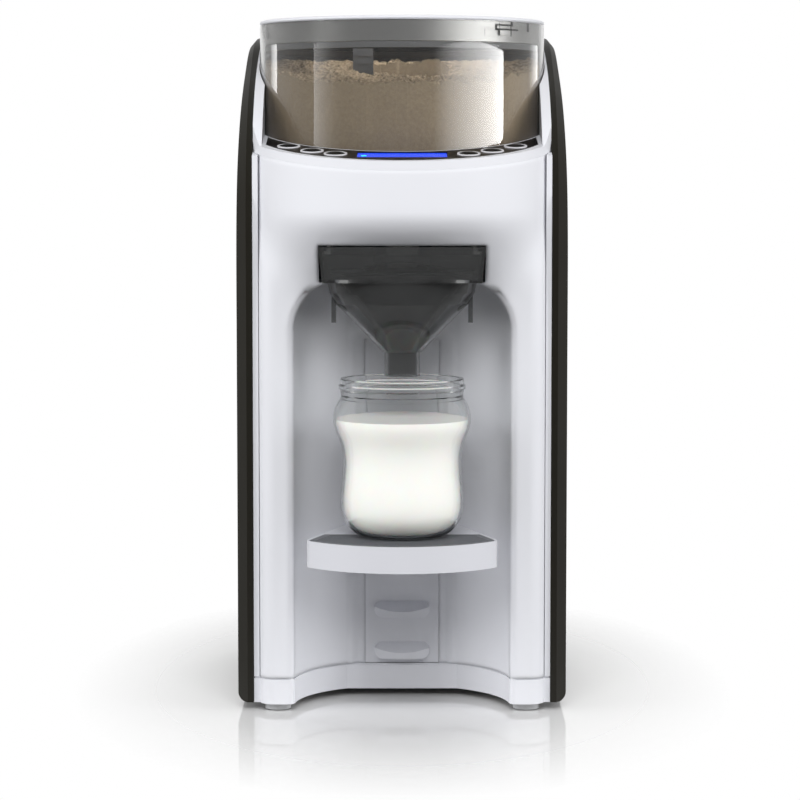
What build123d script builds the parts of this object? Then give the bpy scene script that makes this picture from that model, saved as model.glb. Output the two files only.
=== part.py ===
"""Counter-top baby formula maker, built as an assembly of separate pieces.

Millimetres. X runs to the user's right, Y to the back, Z up. The origin is on the counter, below
the middle of the machine. Powder falls from the container through the chute into the funnel, hot
water joins it there from the nozzle, and both run down the spout into the bottle.
"""

import math
import os

from build123d import *

os.makedirs("parts", exist_ok=True)

# ---------------------------------------------------------------- driving dimensions
# Heights
FOOT_H = 4.0
SEAM_Z = 19.0  # top of the base skirt
CHIN_LOW_Z = 236.0  # the head's overhang starts here
CHIN_HIGH_Z = 288.0  # and is full from here
ARCH_TOP_Z = 250.0
HOLDER_LOW_Z = 248.8
HOLDER_TOP_Z = 268.7
DECK_Z = 297.0  # floor of the container's well
SHOULDER_Z = 319.0  # the container widens from its foot up to here
CONTAINER_TOP_Z = 396.0
LID_TOP_Z = CONTAINER_TOP_Z + 3.5
SPOUT_TIP_Z = 194.6
TRAY_TOP_Z = 102.3
REAR_TOP_Z = CONTAINER_TOP_Z - 4.0
PANEL_TOP_Z = CONTAINER_TOP_Z - 1.0
DOCK_TOP_Z = 150.0
TANK_RIM_Z = REAR_TOP_Z - 4.0

# Depths
ARM_FRONT_Y = -114.0
HEAD_FRONT_Y = -157.5
HOLDER_FRONT_Y = -154.0
HOLDER_BACK_Y = -76.0
SPOUT_Y = -117.0
CONTAINER_Y = -40.0
BAY_BACK_Y = -64.0
SHELL_BACK_Y = -56.0
CASE_FRONT_Y = -107.0
CASE_BACK_Y = 101.5
PANEL_BACK_Y = 112.0
TANK_BACK_Y = 165.0
TRAY_FRONT_Y = -165.0
LIP_Y = -154.0

# Half widths and radii
CONTAINER_R = 84.0
CASE_HALF_W = CONTAINER_R + 1.7
SHELL_HALF_W = CASE_HALF_W - 3.4
PANEL_HALF_W = CASE_HALF_W + 9.55
TANK_HALF_W = CASE_HALF_W - 1.7
HOLDER_HALF_W = 46.7
HEAD_R = CONTAINER_R + 6.0
ARM_BOW = 0.6
ARM_CORNER_R = 9.0
BAY_R = 62.3
ARCH_R = 31.0
MOUTH_R = 3.0
CONTAINER_FOOT_R = CONTAINER_R - 8.0
OUTLET_R = 52.0  # from the container's axis to the powder outlet

# Walls and clearances
SHELL_WALL = 2.5
BAY_WALL = 2.5
BAY_BACK_WALL = 4.5
CASE_WALL = 2.2
TOP_WALL = 2.4
CONTAINER_WALL = 2.4
HOLDER_WALL = 1.8
TANK_WALL = 2.4
GAP = 0.3  # between pieces that move past each other
SEAM_GAP = 0.2  # between fixed mouldings
WELL_GAP = 0.4
FIT = 0.06  # shaft in hole

# The sloped deck round the container
DECK_SLOPE = 0.17
LIP_Z = 317.0
COLLAR_H = 5.0
DECK_TILT = math.atan(DECK_SLOPE)

HEAD_AXIS_Y = HEAD_FRONT_Y + HEAD_R
deck_plane = Plane(
    origin=(0, LIP_Y, LIP_Z),
    x_dir=(1, 0, 0),
    z_dir=(0, -math.sin(DECK_TILT), math.cos(DECK_TILT)),
)
seam_plane = deck_plane.offset(-COLLAR_H * math.cos(DECK_TILT))
UP = (Align.CENTER, Align.CENTER, Align.MIN)
DOWN = (Align.CENTER, Align.CENTER, Align.MAX)
pieces = []


def keep(block, label):
    """Name a finished piece and put it on the list that is written at the end."""
    block.part.label = label
    pieces.append(block.part)


def deck_z(y):
    """Height of the sloped deck at depth y."""
    return LIP_Z + DECK_SLOPE * (y - LIP_Y)


def deck_spot(x, y):
    """Coordinates on the sloped deck of the point straight above (x, y)."""
    return (x, (y - LIP_Y) / math.cos(DECK_TILT))


def blend(low, high, share):
    return low + (high - low) * share


def facing_front(y):
    """Upright plane at depth y that faces the user: local X to the right, local Y up."""
    return Plane(origin=(0, y, 0), x_dir=(1, 0, 0), z_dir=(0, -1, 0))


def facing_side(x):
    """Upright plane at x that faces right: local X to the back, local Y up."""
    return Plane(origin=(x, 0, 0), x_dir=(0, 1, 0), z_dir=(1, 0, 0))


def turned(points, axis_y):
    """Solid turned about the upright axis at axis_y from points given as radius and height."""
    with BuildPart() as body:
        with BuildSketch(facing_front(axis_y)):
            Polygon(*points, align=None)
        revolve(axis=Axis((0, axis_y, 0), (0, 0, 1)))
    return body.part


# ---------------------------------------------------------------- front shell
CHIN_STEPS = 6
HEAD_CUT_Z = 345.0
BAY_CUT_Z = -20.0
MOUTH_FACETS = 3


def front_section(z, share, inset):
    """Plan of the front at height z: share 0 is the flat-fronted arms, share 1 the bowed head."""
    half_w = SHELL_HALF_W - inset
    head_corner = HEAD_AXIS_Y - math.sqrt((HEAD_R - inset) ** 2 - half_w**2)
    corner = blend(ARM_FRONT_Y + inset, head_corner, share)
    nose = blend(ARM_FRONT_Y - ARM_BOW + inset, HEAD_FRONT_Y + inset, share)
    with BuildSketch(Plane.XY.offset(z)) as section:
        with BuildLine():
            Polyline((half_w, corner), (half_w, SHELL_BACK_Y), (-half_w, SHELL_BACK_Y), (-half_w, corner))
            ThreePointArc((-half_w, corner), (0, nose), (half_w, corner))
        make_face()
        fillet(section.vertices().group_by(Axis.Y)[0], ARM_CORNER_R - inset)
    return section.sketch


def chin_share(z):
    """How far the head bows out at height z: a smooth step from the arms to the head."""
    u = (z - CHIN_LOW_Z) / (CHIN_HIGH_Z - CHIN_LOW_Z)
    return u * u * (3 - 2 * u)


def front_solid(inset):
    """The closed form of the front: arms, chin and head."""
    with BuildPart() as solid:
        add(front_section(SEAM_Z, 0, inset))
        extrude(amount=CHIN_LOW_Z - SEAM_Z)
        for step in range(CHIN_STEPS + 1):
            z = blend(CHIN_LOW_Z, CHIN_HIGH_Z, step / CHIN_STEPS)
            add(front_section(z, chin_share(z), inset))
        loft()
        add(front_section(CHIN_HIGH_Z, 1, inset))
        extrude(amount=HEAD_CUT_Z - CHIN_HIGH_Z)
    return solid.part


def arch_outline(y, grow):
    """Front view of the bay's arch on the plane at depth y."""
    with BuildSketch(facing_front(y)) as arch:
        with Locations((0, BAY_CUT_Z)):
            Rectangle(
                2 * (BAY_R + grow),
                ARCH_TOP_Z + grow - BAY_CUT_Z,
                align=(Align.CENTER, Align.MIN),
            )
        fillet(arch.vertices().group_by(Axis.Y)[-1], ARCH_R + grow)
    return arch.sketch


def bay_plan(grow, back_grow):
    """Plan of the bay: round behind the bottle, flat at the back and open to the front."""
    with BuildSketch(Plane.XY.offset(BAY_CUT_Z)) as plan:
        with Locations((0, SPOUT_Y)):
            Circle(BAY_R + grow)
            Rectangle(2 * (BAY_R + grow), 2 * BAY_R, align=(Align.CENTER, Align.MAX))
        with Locations((0, BAY_BACK_Y + back_grow)):
            Rectangle(4 * BAY_R, BAY_R, align=(Align.CENTER, Align.MIN), mode=Mode.SUBTRACT)
    return plan.sketch


def bay_solid(grow, back_grow):
    """The arched bay where the bottle stands, or its outer wall when grow is a wall."""
    with BuildPart() as bay:
        extrude(bay_plan(grow, back_grow), amount=ARCH_TOP_Z + grow - BAY_CUT_Z)
        extrude(arch_outline(0, grow), amount=4 * BAY_R, mode=Mode.INTERSECT)
    return bay.part


def rounded_mouth():
    """What the round edge of the bay's mouth takes away, in short tapered steps."""
    with BuildPart() as mouth:
        for step in range(MOUTH_FACETS):
            low, high = (math.radians(90 * (step + n) / MOUTH_FACETS) for n in (0, 1))
            depth = MOUTH_R * (math.sin(high) - math.sin(low))
            spread = MOUTH_R * (math.cos(low) - math.cos(high))
            extrude(
                arch_outline(ARM_FRONT_Y + MOUTH_R * (1 - math.sin(low)), MOUTH_R * (1 - math.cos(low))),
                amount=depth,
                taper=-math.degrees(math.atan2(spread, depth)),
            )
        extrude(arch_outline(ARM_FRONT_Y, MOUTH_R), amount=2 * ARM_BOW)
    return mouth.part


SLOT_GAP = 0.6
SLOT_LOW_GAP = 1.2
CHANNEL_HALF_W = 29.9
CHANNEL_TOP_Z = 221.0
CHANNEL_DEPTH = 2.0
CHANNEL_SLANT = 60.0
CHANNEL_CORNER_R = 12.0
INSERT_HALF_W = 21.8
INSERT_TOP_Z = 212.0
INSERT_T = 1.6
WELL_R = CONTAINER_R + WELL_GAP
WELL_STEP_Z = 316.8
DECK_T = 3.0
LEDGE_W = 7.0
LEDGE_T = 4.0
INSERT_Y = BAY_BACK_Y + CHANNEL_DEPTH  # front face of the insert

bay_void = bay_solid(0, 0)
bay_wall = bay_solid(BAY_WALL, BAY_BACK_WALL)

with BuildPart() as front_cavity:
    add(front_solid(SHELL_WALL))
    add(bay_wall, mode=Mode.SUBTRACT)

with BuildPart() as front_shell:
    add(front_solid(0))
    add(bay_void, mode=Mode.SUBTRACT)
    add(rounded_mouth(), mode=Mode.SUBTRACT)
    add(front_cavity.part, mode=Mode.SUBTRACT)
    # slot of the funnel holder
    with Locations((0, HOLDER_BACK_Y + SLOT_GAP * 4, HOLDER_LOW_Z - SLOT_LOW_GAP)):
        Box(
            2 * (HOLDER_HALF_W + SLOT_GAP),
            2 * BAY_R,
            HOLDER_TOP_Z - HOLDER_LOW_Z + SLOT_LOW_GAP + SLOT_GAP,
            align=(Align.CENTER, Align.MAX, Align.MIN),
            mode=Mode.SUBTRACT,
        )
    # shallow channel with slanted sides, and the seat of the insert in it
    with BuildSketch(facing_front(BAY_BACK_Y)) as channel:
        with Locations((0, BAY_CUT_Z)):
            Rectangle(
                2 * CHANNEL_HALF_W, CHANNEL_TOP_Z - BAY_CUT_Z, align=(Align.CENTER, Align.MIN)
            )
        fillet(channel.vertices().group_by(Axis.Y)[-1], CHANNEL_CORNER_R)
    extrude(amount=-CHANNEL_DEPTH, taper=CHANNEL_SLANT, mode=Mode.SUBTRACT)
    with Locations((0, INSERT_Y - SEAM_GAP, BAY_CUT_Z)):
        Box(
            2 * (INSERT_HALF_W + SEAM_GAP),
            INSERT_T + 2 * SEAM_GAP,
            INSERT_TOP_Z + SEAM_GAP - BAY_CUT_Z,
            align=(Align.CENTER, Align.MIN, Align.MIN),
            mode=Mode.SUBTRACT,
        )
    # ledges that carry the deck frame
    for side in (-1, 1):
        with Locations((side * (SHELL_HALF_W - SHELL_WALL / 2 - LEDGE_W / 2), -84, DECK_Z - DECK_T)):
            Box(LEDGE_W, 26, LEDGE_T, align=(Align.CENTER, Align.CENTER, Align.MAX))
    with Locations((0, HEAD_FRONT_Y + SHELL_WALL / 2, DECK_Z - DECK_T)):
        Box(24, LEDGE_W + SHELL_WALL, LEDGE_T, align=(Align.CENTER, Align.MIN, Align.MAX))
    split(bisect_by=seam_plane, keep=Keep.BOTTOM)
    with Locations((0, CONTAINER_Y, WELL_STEP_Z)):
        Cylinder(
            WELL_R, HEAD_CUT_Z, align=(Align.CENTER, Align.CENTER, Align.MIN), mode=Mode.SUBTRACT
        )
keep(front_shell, "front_shell")

# ---------------------------------------------------------------- bay insert with tray ledges
LEDGE_HALF_W = 16.3
LEDGE_H = 9.2
LEDGE_REACH = 8.0
LEDGE_SLOPE = 5.6  # how far a ledge's top falls towards the user
LEDGE_BOW_R = 36.0
LEDGE_Z = (27.2, 51.7, 76.2)


def ledge_outline(y, grow):
    """Front view of the pill-shaped ledges."""
    with BuildSketch(facing_front(y)) as outline:
        with Locations(*[(0, z) for z in LEDGE_Z]):
            SlotOverall(2 * (LEDGE_HALF_W + grow), LEDGE_H + 2 * grow)
    return outline.sketch


with BuildPart() as height_panel:
    with Locations((0, INSERT_Y, SEAM_Z + GAP)):
        Box(
            2 * INSERT_HALF_W,
            INSERT_T,
            INSERT_TOP_Z - SEAM_Z - GAP,
            align=(Align.CENTER, Align.MIN, Align.MIN),
        )
    extrude(ledge_outline(INSERT_Y, 0), amount=LEDGE_REACH)
    # bowed fronts
    with BuildSketch(Plane.XY):
        with Locations((0, INSERT_Y - LEDGE_REACH)):
            Rectangle(4 * LEDGE_HALF_W, 2 * LEDGE_REACH)
        with Locations((0, INSERT_Y - LEDGE_REACH + LEDGE_BOW_R)):
            Circle(LEDGE_BOW_R, mode=Mode.SUBTRACT)
        with Locations((0, INSERT_Y - 1)):
            Rectangle(4 * LEDGE_HALF_W, 2 * LEDGE_REACH, align=(Align.CENTER, Align.MIN), mode=Mode.SUBTRACT)
    extrude(amount=INSERT_TOP_Z, mode=Mode.SUBTRACT)
    # tops that fall towards the user
    with BuildSketch(facing_side(0)):
        for z in LEDGE_Z:
            top = z + LEDGE_H / 2
            with BuildLine():
                Polyline(
                    (INSERT_Y, top),
                    (INSERT_Y - LEDGE_REACH, top - LEDGE_SLOPE),
                    (INSERT_Y - LEDGE_REACH - 1, top + 1),
                    (INSERT_Y, top + 1),
                    close=True,
                )
            make_face()
    extrude(amount=2 * LEDGE_HALF_W, both=True, mode=Mode.SUBTRACT)
keep(height_panel, "height_panel")

# ---------------------------------------------------------------- rear case
CASE_CORNER_R = 8.0
CASE_LIP_D = 5.0
TUBE_PORT_Z = 128.0


def case_plan(z, inset, front_y):
    """Plan of the rear case: straight sides and a flat, round-cornered back."""
    with BuildSketch(Plane.XY.offset(z)) as plan:
        with Locations((0, front_y)):
            Rectangle(
                2 * (CASE_HALF_W - inset),
                CASE_BACK_Y - inset - front_y,
                align=(Align.CENTER, Align.MIN),
            )
        fillet(plan.vertices().group_by(Axis.Y)[-1], CASE_CORNER_R - inset)
    return plan.sketch


with BuildPart() as rear_shell:
    extrude(case_plan(SEAM_Z, 0, CASE_FRONT_Y), amount=HEAD_CUT_Z + 40 - SEAM_Z)
    extrude(
        case_plan(SEAM_Z - 1, CASE_WALL, CASE_FRONT_Y - 1),
        amount=HEAD_CUT_Z + 60 - SEAM_Z,
        mode=Mode.SUBTRACT,
    )
    # front lips that close the seam beside the front shell
    for side in (-1, 1):
        with Locations((side * (SHELL_HALF_W + SEAM_GAP), CASE_FRONT_Y, SEAM_Z)):
            Box(
                CASE_HALF_W - SHELL_HALF_W - SEAM_GAP,
                CASE_LIP_D,
                HEAD_CUT_Z - SEAM_Z,
                align=(Align.MIN if side > 0 else Align.MAX, Align.MIN, Align.MIN),
            )
    split(bisect_by=seam_plane.offset(-SEAM_GAP), keep=Keep.BOTTOM)
    with Locations((0, CONTAINER_Y, WELL_STEP_Z)):
        Cylinder(
            WELL_R, HEAD_CUT_Z, align=(Align.CENTER, Align.CENTER, Align.MIN), mode=Mode.SUBTRACT
        )
    with Locations(facing_front(CASE_BACK_Y) * Location((0, TUBE_PORT_Z, 0))):
        Cylinder(8, 4 * CASE_WALL, mode=Mode.SUBTRACT)
keep(rear_shell, "rear_shell")

# ---------------------------------------------------------------- side panels
PANEL_INNER_X = CASE_HALF_W + SEAM_GAP
PANEL_FRONT_Y = -108.0
PANEL_LOW_Z = FOOT_H
PANEL_TAPER_Z = 240.0
PANEL_TAPER = 3.2  # how far the outer face leans in at the top
PANEL_FACET_X = PANEL_HALF_W - 5.85
PANEL_BEVEL = 7.0
PANEL_FOOT_R = 5.0
PANEL_BACK_R = 16.0


def panel_profile(x, step_in):
    """Side view of a panel at x, its swept front and top edge moved in by step_in."""
    sweep = (
        (PANEL_FRONT_Y, PANEL_TOP_Z - 180, 1, 0),
        (-94, PANEL_TOP_Z - 65, 0.94, -0.34),
        (-72, PANEL_TOP_Z - 42, 0.66, -0.75),
        (-39, PANEL_TOP_Z - 23.5, 0.36, -0.93),
        (PANEL_BACK_Y - PANEL_BACK_R, PANEL_TOP_Z, 0, -1),
    )
    curve = [(y + step_in * to_back, z + step_in * up) for y, z, to_back, up in sweep]
    with BuildSketch(facing_side(x)) as profile:
        with BuildLine():
            Spline(*curve, tangents=((0, 1), (1, 0.04)))
            Polyline(
                curve[-1],
                (PANEL_BACK_Y, PANEL_TOP_Z - PANEL_BACK_R),
                (PANEL_BACK_Y, PANEL_LOW_Z),
                (PANEL_FRONT_Y + step_in, PANEL_LOW_Z),
                curve[0],
            )
        make_face()
    return profile.sketch


def side_panel(side):
    """One charcoal side panel: a deep slab whose bevelled front edge sweeps back to the top."""
    with BuildPart() as panel:
        extrude(panel_profile(side * PANEL_INNER_X, 0), amount=side * (PANEL_FACET_X - PANEL_INNER_X))
        add(panel_profile(side * PANEL_FACET_X, 0))
        add(panel_profile(side * PANEL_HALF_W, PANEL_BEVEL))
        loft(ruled=True)
        with BuildSketch(facing_front(PANEL_FRONT_Y - 10)) as front:
            with BuildLine():
                Polyline(
                    (side * PANEL_HALF_W, PANEL_TAPER_Z),
                    (side * PANEL_HALF_W, PANEL_LOW_Z),
                    (side * (PANEL_INNER_X - 1), PANEL_LOW_Z),
                    (side * (PANEL_INNER_X - 1), PANEL_TOP_Z + 5),
                    (side * (PANEL_HALF_W - PANEL_TAPER), PANEL_TOP_Z + 5),
                )
                ThreePointArc(
                    (side * (PANEL_HALF_W - PANEL_TAPER), PANEL_TOP_Z + 5),
                    (side * (PANEL_HALF_W - PANEL_TAPER / 4), blend(PANEL_TAPER_Z, PANEL_TOP_Z + 5, 0.5)),
                    (side * PANEL_HALF_W, PANEL_TAPER_Z),
                )
            make_face()
            corner = front.vertices().group_by(Axis.Y)[0]
            fillet(corner.sort_by(Axis.X)[-1 if side > 0 else 0], PANEL_FOOT_R)
        extrude(amount=-2 * (PANEL_BACK_Y - PANEL_FRONT_Y), mode=Mode.INTERSECT)
    return panel


for side, label in ((-1, "left_side_panel"), (1, "right_side_panel")):
    keep(side_panel(side), label)

# ---------------------------------------------------------------- top housing
TOP_CURVE_Y = -106.0  # where the collar leaves the deck and rises beside the container
TOP_RISE = ((-91, 0.245), (-59, 0.596), (-10, 0.873))  # depth, and share of the rise reached there
WELL_WALL = 1.6
STRIP_R = CONTAINER_R
STRIP_MARGIN = 0.9
STRIP_TIP_X = CONTAINER_R - 6.0
STRIP_T = 1.4
STRIP_GAP = 0.15
BUTTON_SPOTS = ((37.4, -133.8), (50.9, -123.7), (64.6, -108.3))
BUTTON_R = 5.2
BUTTON_TRAVEL = 0.8
BUTTON_STEM_R = 2.0
BUTTON_FLANGE_R = 6.3
BEZEL_R = 6.6
BEZEL_H = 0.6
DISPLAY_W = 50.0
DISPLAY_D = 16.6
DISPLAY_Y = -135.6
DISPLAY_SUNK = 0.5
BOARD_DEPTH = 8.4  # top of the control board, measured square to the deck
BOARD_T = 1.6
BOSS_R = 2.4
BOSS_SPOTS = ((70, -100), (31, -144))
CHEEK_X = CONTAINER_R - 3.8  # the sides rise beside the container only from here outwards
CHEEK_BACK_Y = -60.0
SWITCH_W = 6.0
SWITCH_GAP = 0.2


def top_profile(drop):
    """Side view of the collar, the rising sides and the rear deck."""
    rise = [(y, blend(deck_z(TOP_CURVE_Y), REAR_TOP_Z, share) - drop) for y, share in TOP_RISE]
    with BuildSketch(facing_side(0)) as profile:
        with BuildLine():
            Spline(
                (TOP_CURVE_Y, deck_z(TOP_CURVE_Y) - drop),
                *rise,
                (CASE_BACK_Y, REAR_TOP_Z - drop),
                tangents=((1, 0.9), (1, 0.02)),
            )
            Polyline(
                (CASE_BACK_Y, REAR_TOP_Z - drop),
                (CASE_BACK_Y, deck_z(CASE_BACK_Y) - COLLAR_H),
                (HEAD_FRONT_Y - 5, deck_z(HEAD_FRONT_Y - 5) - COLLAR_H),
                (HEAD_FRONT_Y - 5, deck_z(HEAD_FRONT_Y - 5) - drop),
                (TOP_CURVE_Y, deck_z(TOP_CURVE_Y) - drop),
            )
        make_face()
    return profile.sketch


def top_plan(inset):
    """Plan of the top housing: bowed front, straight sides, round-cornered back."""
    half_w = CASE_HALF_W - inset
    back = CASE_BACK_Y - inset
    corner = HEAD_AXIS_Y - math.sqrt((HEAD_R - inset) ** 2 - half_w**2)
    with BuildSketch(Plane.XY.offset(DECK_Z)) as plan:
        with BuildLine():
            Polyline((half_w, corner), (half_w, back), (-half_w, back), (-half_w, corner))
            ThreePointArc((-half_w, corner), (0, HEAD_FRONT_Y + inset), (half_w, corner))
        make_face()
        fillet(plan.vertices().group_by(Axis.Y)[-1], CASE_CORNER_R - inset)
    return plan.sketch


def top_solid(inset, drop):
    """Solid form of the top housing; inset and drop make the form of its cavity."""
    with BuildPart() as solid:
        extrude(top_plan(inset), amount=2 * (LID_TOP_Z - DECK_Z))
        extrude(top_profile(drop), amount=2 * CASE_HALF_W, both=True, mode=Mode.INTERSECT)
    return solid.part


def crescent(top, bottom, outer, inner, half_w):
    """Crescent between two depths under the deck, from radius inner round the well to outer."""
    with BuildPart() as slab:
        with BuildSketch(Plane.XY.offset(DECK_Z)):
            with Locations((0, outer[0])):
                Circle(outer[1])
            with Locations((0, CONTAINER_Y)):
                Circle(inner, mode=Mode.SUBTRACT)
            with Locations((0, CONTAINER_Y)):
                Rectangle(2 * half_w, 4 * STRIP_R, mode=Mode.INTERSECT, align=(Align.CENTER, Align.MAX))
        extrude(amount=LID_TOP_Z - DECK_Z)
        split(bisect_by=deck_plane.offset(-top), keep=Keep.BOTTOM)
        split(bisect_by=deck_plane.offset(-bottom), keep=Keep.TOP)
    return slab.part


def strip_form(top, bottom, shrink):
    """Form of the control strip, or of its recess when shrink is zero."""
    return crescent(
        top,
        bottom,
        (LIP_Y + STRIP_R, STRIP_R - shrink),
        WELL_R + STRIP_MARGIN + shrink,
        STRIP_TIP_X - shrink,
    )


button_spots = [deck_spot(side * x, y) for side in (-1, 1) for x, y in BUTTON_SPOTS[::side]]
boss_spots = [deck_spot(side * x, y) for side in (-1, 1) for x, y in BOSS_SPOTS]
display_spot = deck_spot(0, DISPLAY_Y)


def front_block(half_w, depth):
    """Everything in front of the cheeks' back, above a plane at a depth under the deck."""
    with BuildPart() as block:
        with Locations((0, CHEEK_BACK_Y, DECK_Z)):
            Box(2 * half_w, HEAD_R * 2, LID_TOP_Z - DECK_Z, align=(Align.CENTER, Align.MAX, Align.MIN))
        split(bisect_by=deck_plane.offset(-depth), keep=Keep.TOP)
    return block.part


with BuildPart() as top_cavity:
    add(top_solid(TOP_WALL, TOP_WALL))
    add(front_block(2 * CHEEK_X, TOP_WALL), mode=Mode.SUBTRACT)
    with Locations((0, CONTAINER_Y, DECK_Z)):
        Cylinder(WELL_R + WELL_WALL, 2 * HEAD_R, align=UP, mode=Mode.SUBTRACT)

with BuildPart() as top_housing:
    add(top_solid(0, 0))
    add(front_block(CHEEK_X, 0), mode=Mode.SUBTRACT)
    add(top_cavity.part, mode=Mode.SUBTRACT)
    with Locations((0, CONTAINER_Y, DECK_Z)):
        Cylinder(WELL_R, 2 * HEAD_R, align=UP, mode=Mode.SUBTRACT)
    add(strip_form(-1, STRIP_T, 0), mode=Mode.SUBTRACT)
    with Locations(deck_plane):
        with Locations(*button_spots):
            Cylinder(BUTTON_R + GAP, 4 * TOP_WALL, mode=Mode.SUBTRACT)
        with Locations(display_spot):
            Box(DISPLAY_W + 2 * GAP, DISPLAY_D + 2 * GAP, 4 * TOP_WALL, mode=Mode.SUBTRACT)
    with Locations(deck_plane.offset(-(STRIP_T + TOP_WALL) / 2)):
        with Locations(*boss_spots):
            Cylinder(BOSS_R, BOARD_DEPTH - (STRIP_T + TOP_WALL) / 2, align=DOWN)
keep(top_housing, "top_housing")

# ---------------------------------------------------------------- controls
with BuildPart() as control_panel:
    add(strip_form(0, STRIP_T, STRIP_GAP))
    with Locations(deck_plane):
        with Locations(*button_spots):
            Cylinder(BUTTON_R + GAP, 4 * STRIP_T, mode=Mode.SUBTRACT)
        with Locations(display_spot):
            Box(DISPLAY_W + 2 * GAP, DISPLAY_D + 2 * GAP, 4 * STRIP_T, mode=Mode.SUBTRACT)
keep(control_panel, "control_panel")

with BuildPart() as button_bezels:
    with Locations(deck_plane):
        with Locations(*button_spots):
            Cylinder(BEZEL_R, BEZEL_H, align=UP)
            Cylinder(BUTTON_R + GAP, BEZEL_H, align=UP, mode=Mode.SUBTRACT)
keep(button_bezels, "button_bezels")

with BuildPart() as display:
    with Locations(deck_plane.offset(-DISPLAY_SUNK)):
        with Locations(display_spot):
            Box(DISPLAY_W, DISPLAY_D, BOARD_DEPTH - DISPLAY_SUNK, align=DOWN)
keep(display, "display")

BUTTON_FLANGE_TOP = TOP_WALL + GAP
BUTTON_FLANGE_LOW = BUTTON_FLANGE_TOP + 1.0
BUTTON_STEM_LOW = BUTTON_FLANGE_LOW + 1.1
BUTTON_EDGE_H = 0.5
BUTTON_DOME_H = 0.7
SWITCH_TOP = BUTTON_STEM_LOW + BUTTON_TRAVEL + SWITCH_GAP
button_form = turned(
    (
        (0, -BUTTON_STEM_LOW),
        (BUTTON_STEM_R, -BUTTON_STEM_LOW),
        (BUTTON_STEM_R, -BUTTON_FLANGE_LOW),
        (BUTTON_FLANGE_R, -BUTTON_FLANGE_LOW),
        (BUTTON_FLANGE_R, -BUTTON_FLANGE_TOP),
        (BUTTON_R, -BUTTON_FLANGE_TOP),
        (BUTTON_R, BUTTON_EDGE_H),
        (BUTTON_R * 0.8, BUTTON_EDGE_H + BUTTON_DOME_H * 0.5),
        (BUTTON_R * 0.45, BUTTON_EDGE_H + BUTTON_DOME_H * 0.9),
        (0, BUTTON_EDGE_H + BUTTON_DOME_H),
    ),
    0,
)
for number, spot in enumerate(button_spots, start=1):
    with BuildPart() as button:
        with Locations(deck_plane):
            with Locations(spot):
                add(button_form)
    keep(button, f"button_{number}")

with BuildPart() as control_board:
    add(crescent(BOARD_DEPTH, BOARD_DEPTH + BOARD_T, (HEAD_AXIS_Y, HEAD_R - 4.2), WELL_R + WELL_WALL + 1.2, 77))
    with Locations(deck_plane.offset(-BOARD_DEPTH)):
        with Locations(*button_spots):
            Box(SWITCH_W, SWITCH_W, (BOARD_DEPTH - SWITCH_TOP) * 0.7, align=UP)
            Cylinder(BUTTON_STEM_R, BOARD_DEPTH - SWITCH_TOP, align=UP)
keep(control_board, "control_board")

# ---------------------------------------------------------------- deck and powder drive
DECK_HALF_W = SHELL_HALF_W - SHELL_WALL - 0.4
DECK_BACK_Y = 42.0
NEST_R = CONTAINER_FOOT_R + 0.4  # the ring on the deck that centres the container
NEST_WALL = 2.0
NEST_H = 9.0
OUTLET_HOLE_R = 10.0
OUTLET_Y = CONTAINER_Y - OUTLET_R
SHAFT_R = 5.0
BUSH_R = 7.5
DRIVE_MODULE = 1.5
DRIVE_TEETH = 40
PINION_TEETH = 12
DRIVE_ADDENDUM = 0.75  # shortened so that it clears the small pinion's roots
PRESSURE_ANGLE = math.radians(20)
TOOTH_PLAY = 0.12
GEAR_LOW_Z = 283.0
GEAR_T = 6.0
PLATE_LOW_Z = 272.0
PLATE_T = 3.0
DOG_W = 8.4
DOG_T = 3.2
DOG_TOP_Z = 300.8
PINION_SHAFT_R = 3.0
PINION_Y = CONTAINER_Y + DRIVE_MODULE * (DRIVE_TEETH + PINION_TEETH) / 2
POST_R = 3.5


def gear_outline(teeth, addendum):
    """Points of an involute spur gear with a tooth centred on X."""
    pitch_r = DRIVE_MODULE * teeth / 2
    base_r = pitch_r * math.cos(PRESSURE_ANGLE)
    root_r = pitch_r - 1.25 * DRIVE_MODULE
    tip_r = pitch_r + addendum * DRIVE_MODULE
    flank_r = max(base_r, root_r)
    half_tooth = math.pi / (2 * teeth) - TOOTH_PLAY / (2 * pitch_r) + involute(PRESSURE_ANGLE)
    flank = [(root_r, half_tooth - involute(math.acos(base_r / flank_r)))] if root_r < base_r else []
    for step in range(5):
        r = blend(flank_r, tip_r, step / 4)
        flank.append((r, half_tooth - involute(math.acos(base_r / r))))
    points = []
    for tooth in range(teeth):
        middle = 2 * math.pi * tooth / teeth
        for r, half in flank:
            points.append((r * math.cos(middle - half), r * math.sin(middle - half)))
        for r, half in reversed(flank):
            points.append((r * math.cos(middle + half), r * math.sin(middle + half)))
    return points


def involute(angle):
    return math.tan(angle) - angle


with BuildPart() as deck_frame:
    with BuildSketch(Plane.XY.offset(DECK_Z - DECK_T)):
        add(front_section(0, 1, SHELL_WALL + 0.4))
        with Locations((0, SHELL_BACK_Y)):
            Rectangle(2 * DECK_HALF_W, DECK_BACK_Y - SHELL_BACK_Y, align=(Align.CENTER, Align.MIN))
    extrude(amount=DECK_T)
    with Locations((0, CONTAINER_Y, DECK_Z)):
        Cylinder(NEST_R + NEST_WALL, NEST_H, align=UP)
        Cylinder(NEST_R, NEST_H, align=UP, mode=Mode.SUBTRACT)
    with Locations((0, OUTLET_Y, DECK_Z)):
        Cylinder(OUTLET_HOLE_R, 4 * DECK_T, mode=Mode.SUBTRACT)
    with Locations((0, CONTAINER_Y, DECK_Z)):
        Cylinder(BUSH_R, 4 * DECK_T, mode=Mode.SUBTRACT)
keep(deck_frame, "deck_frame")

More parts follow.
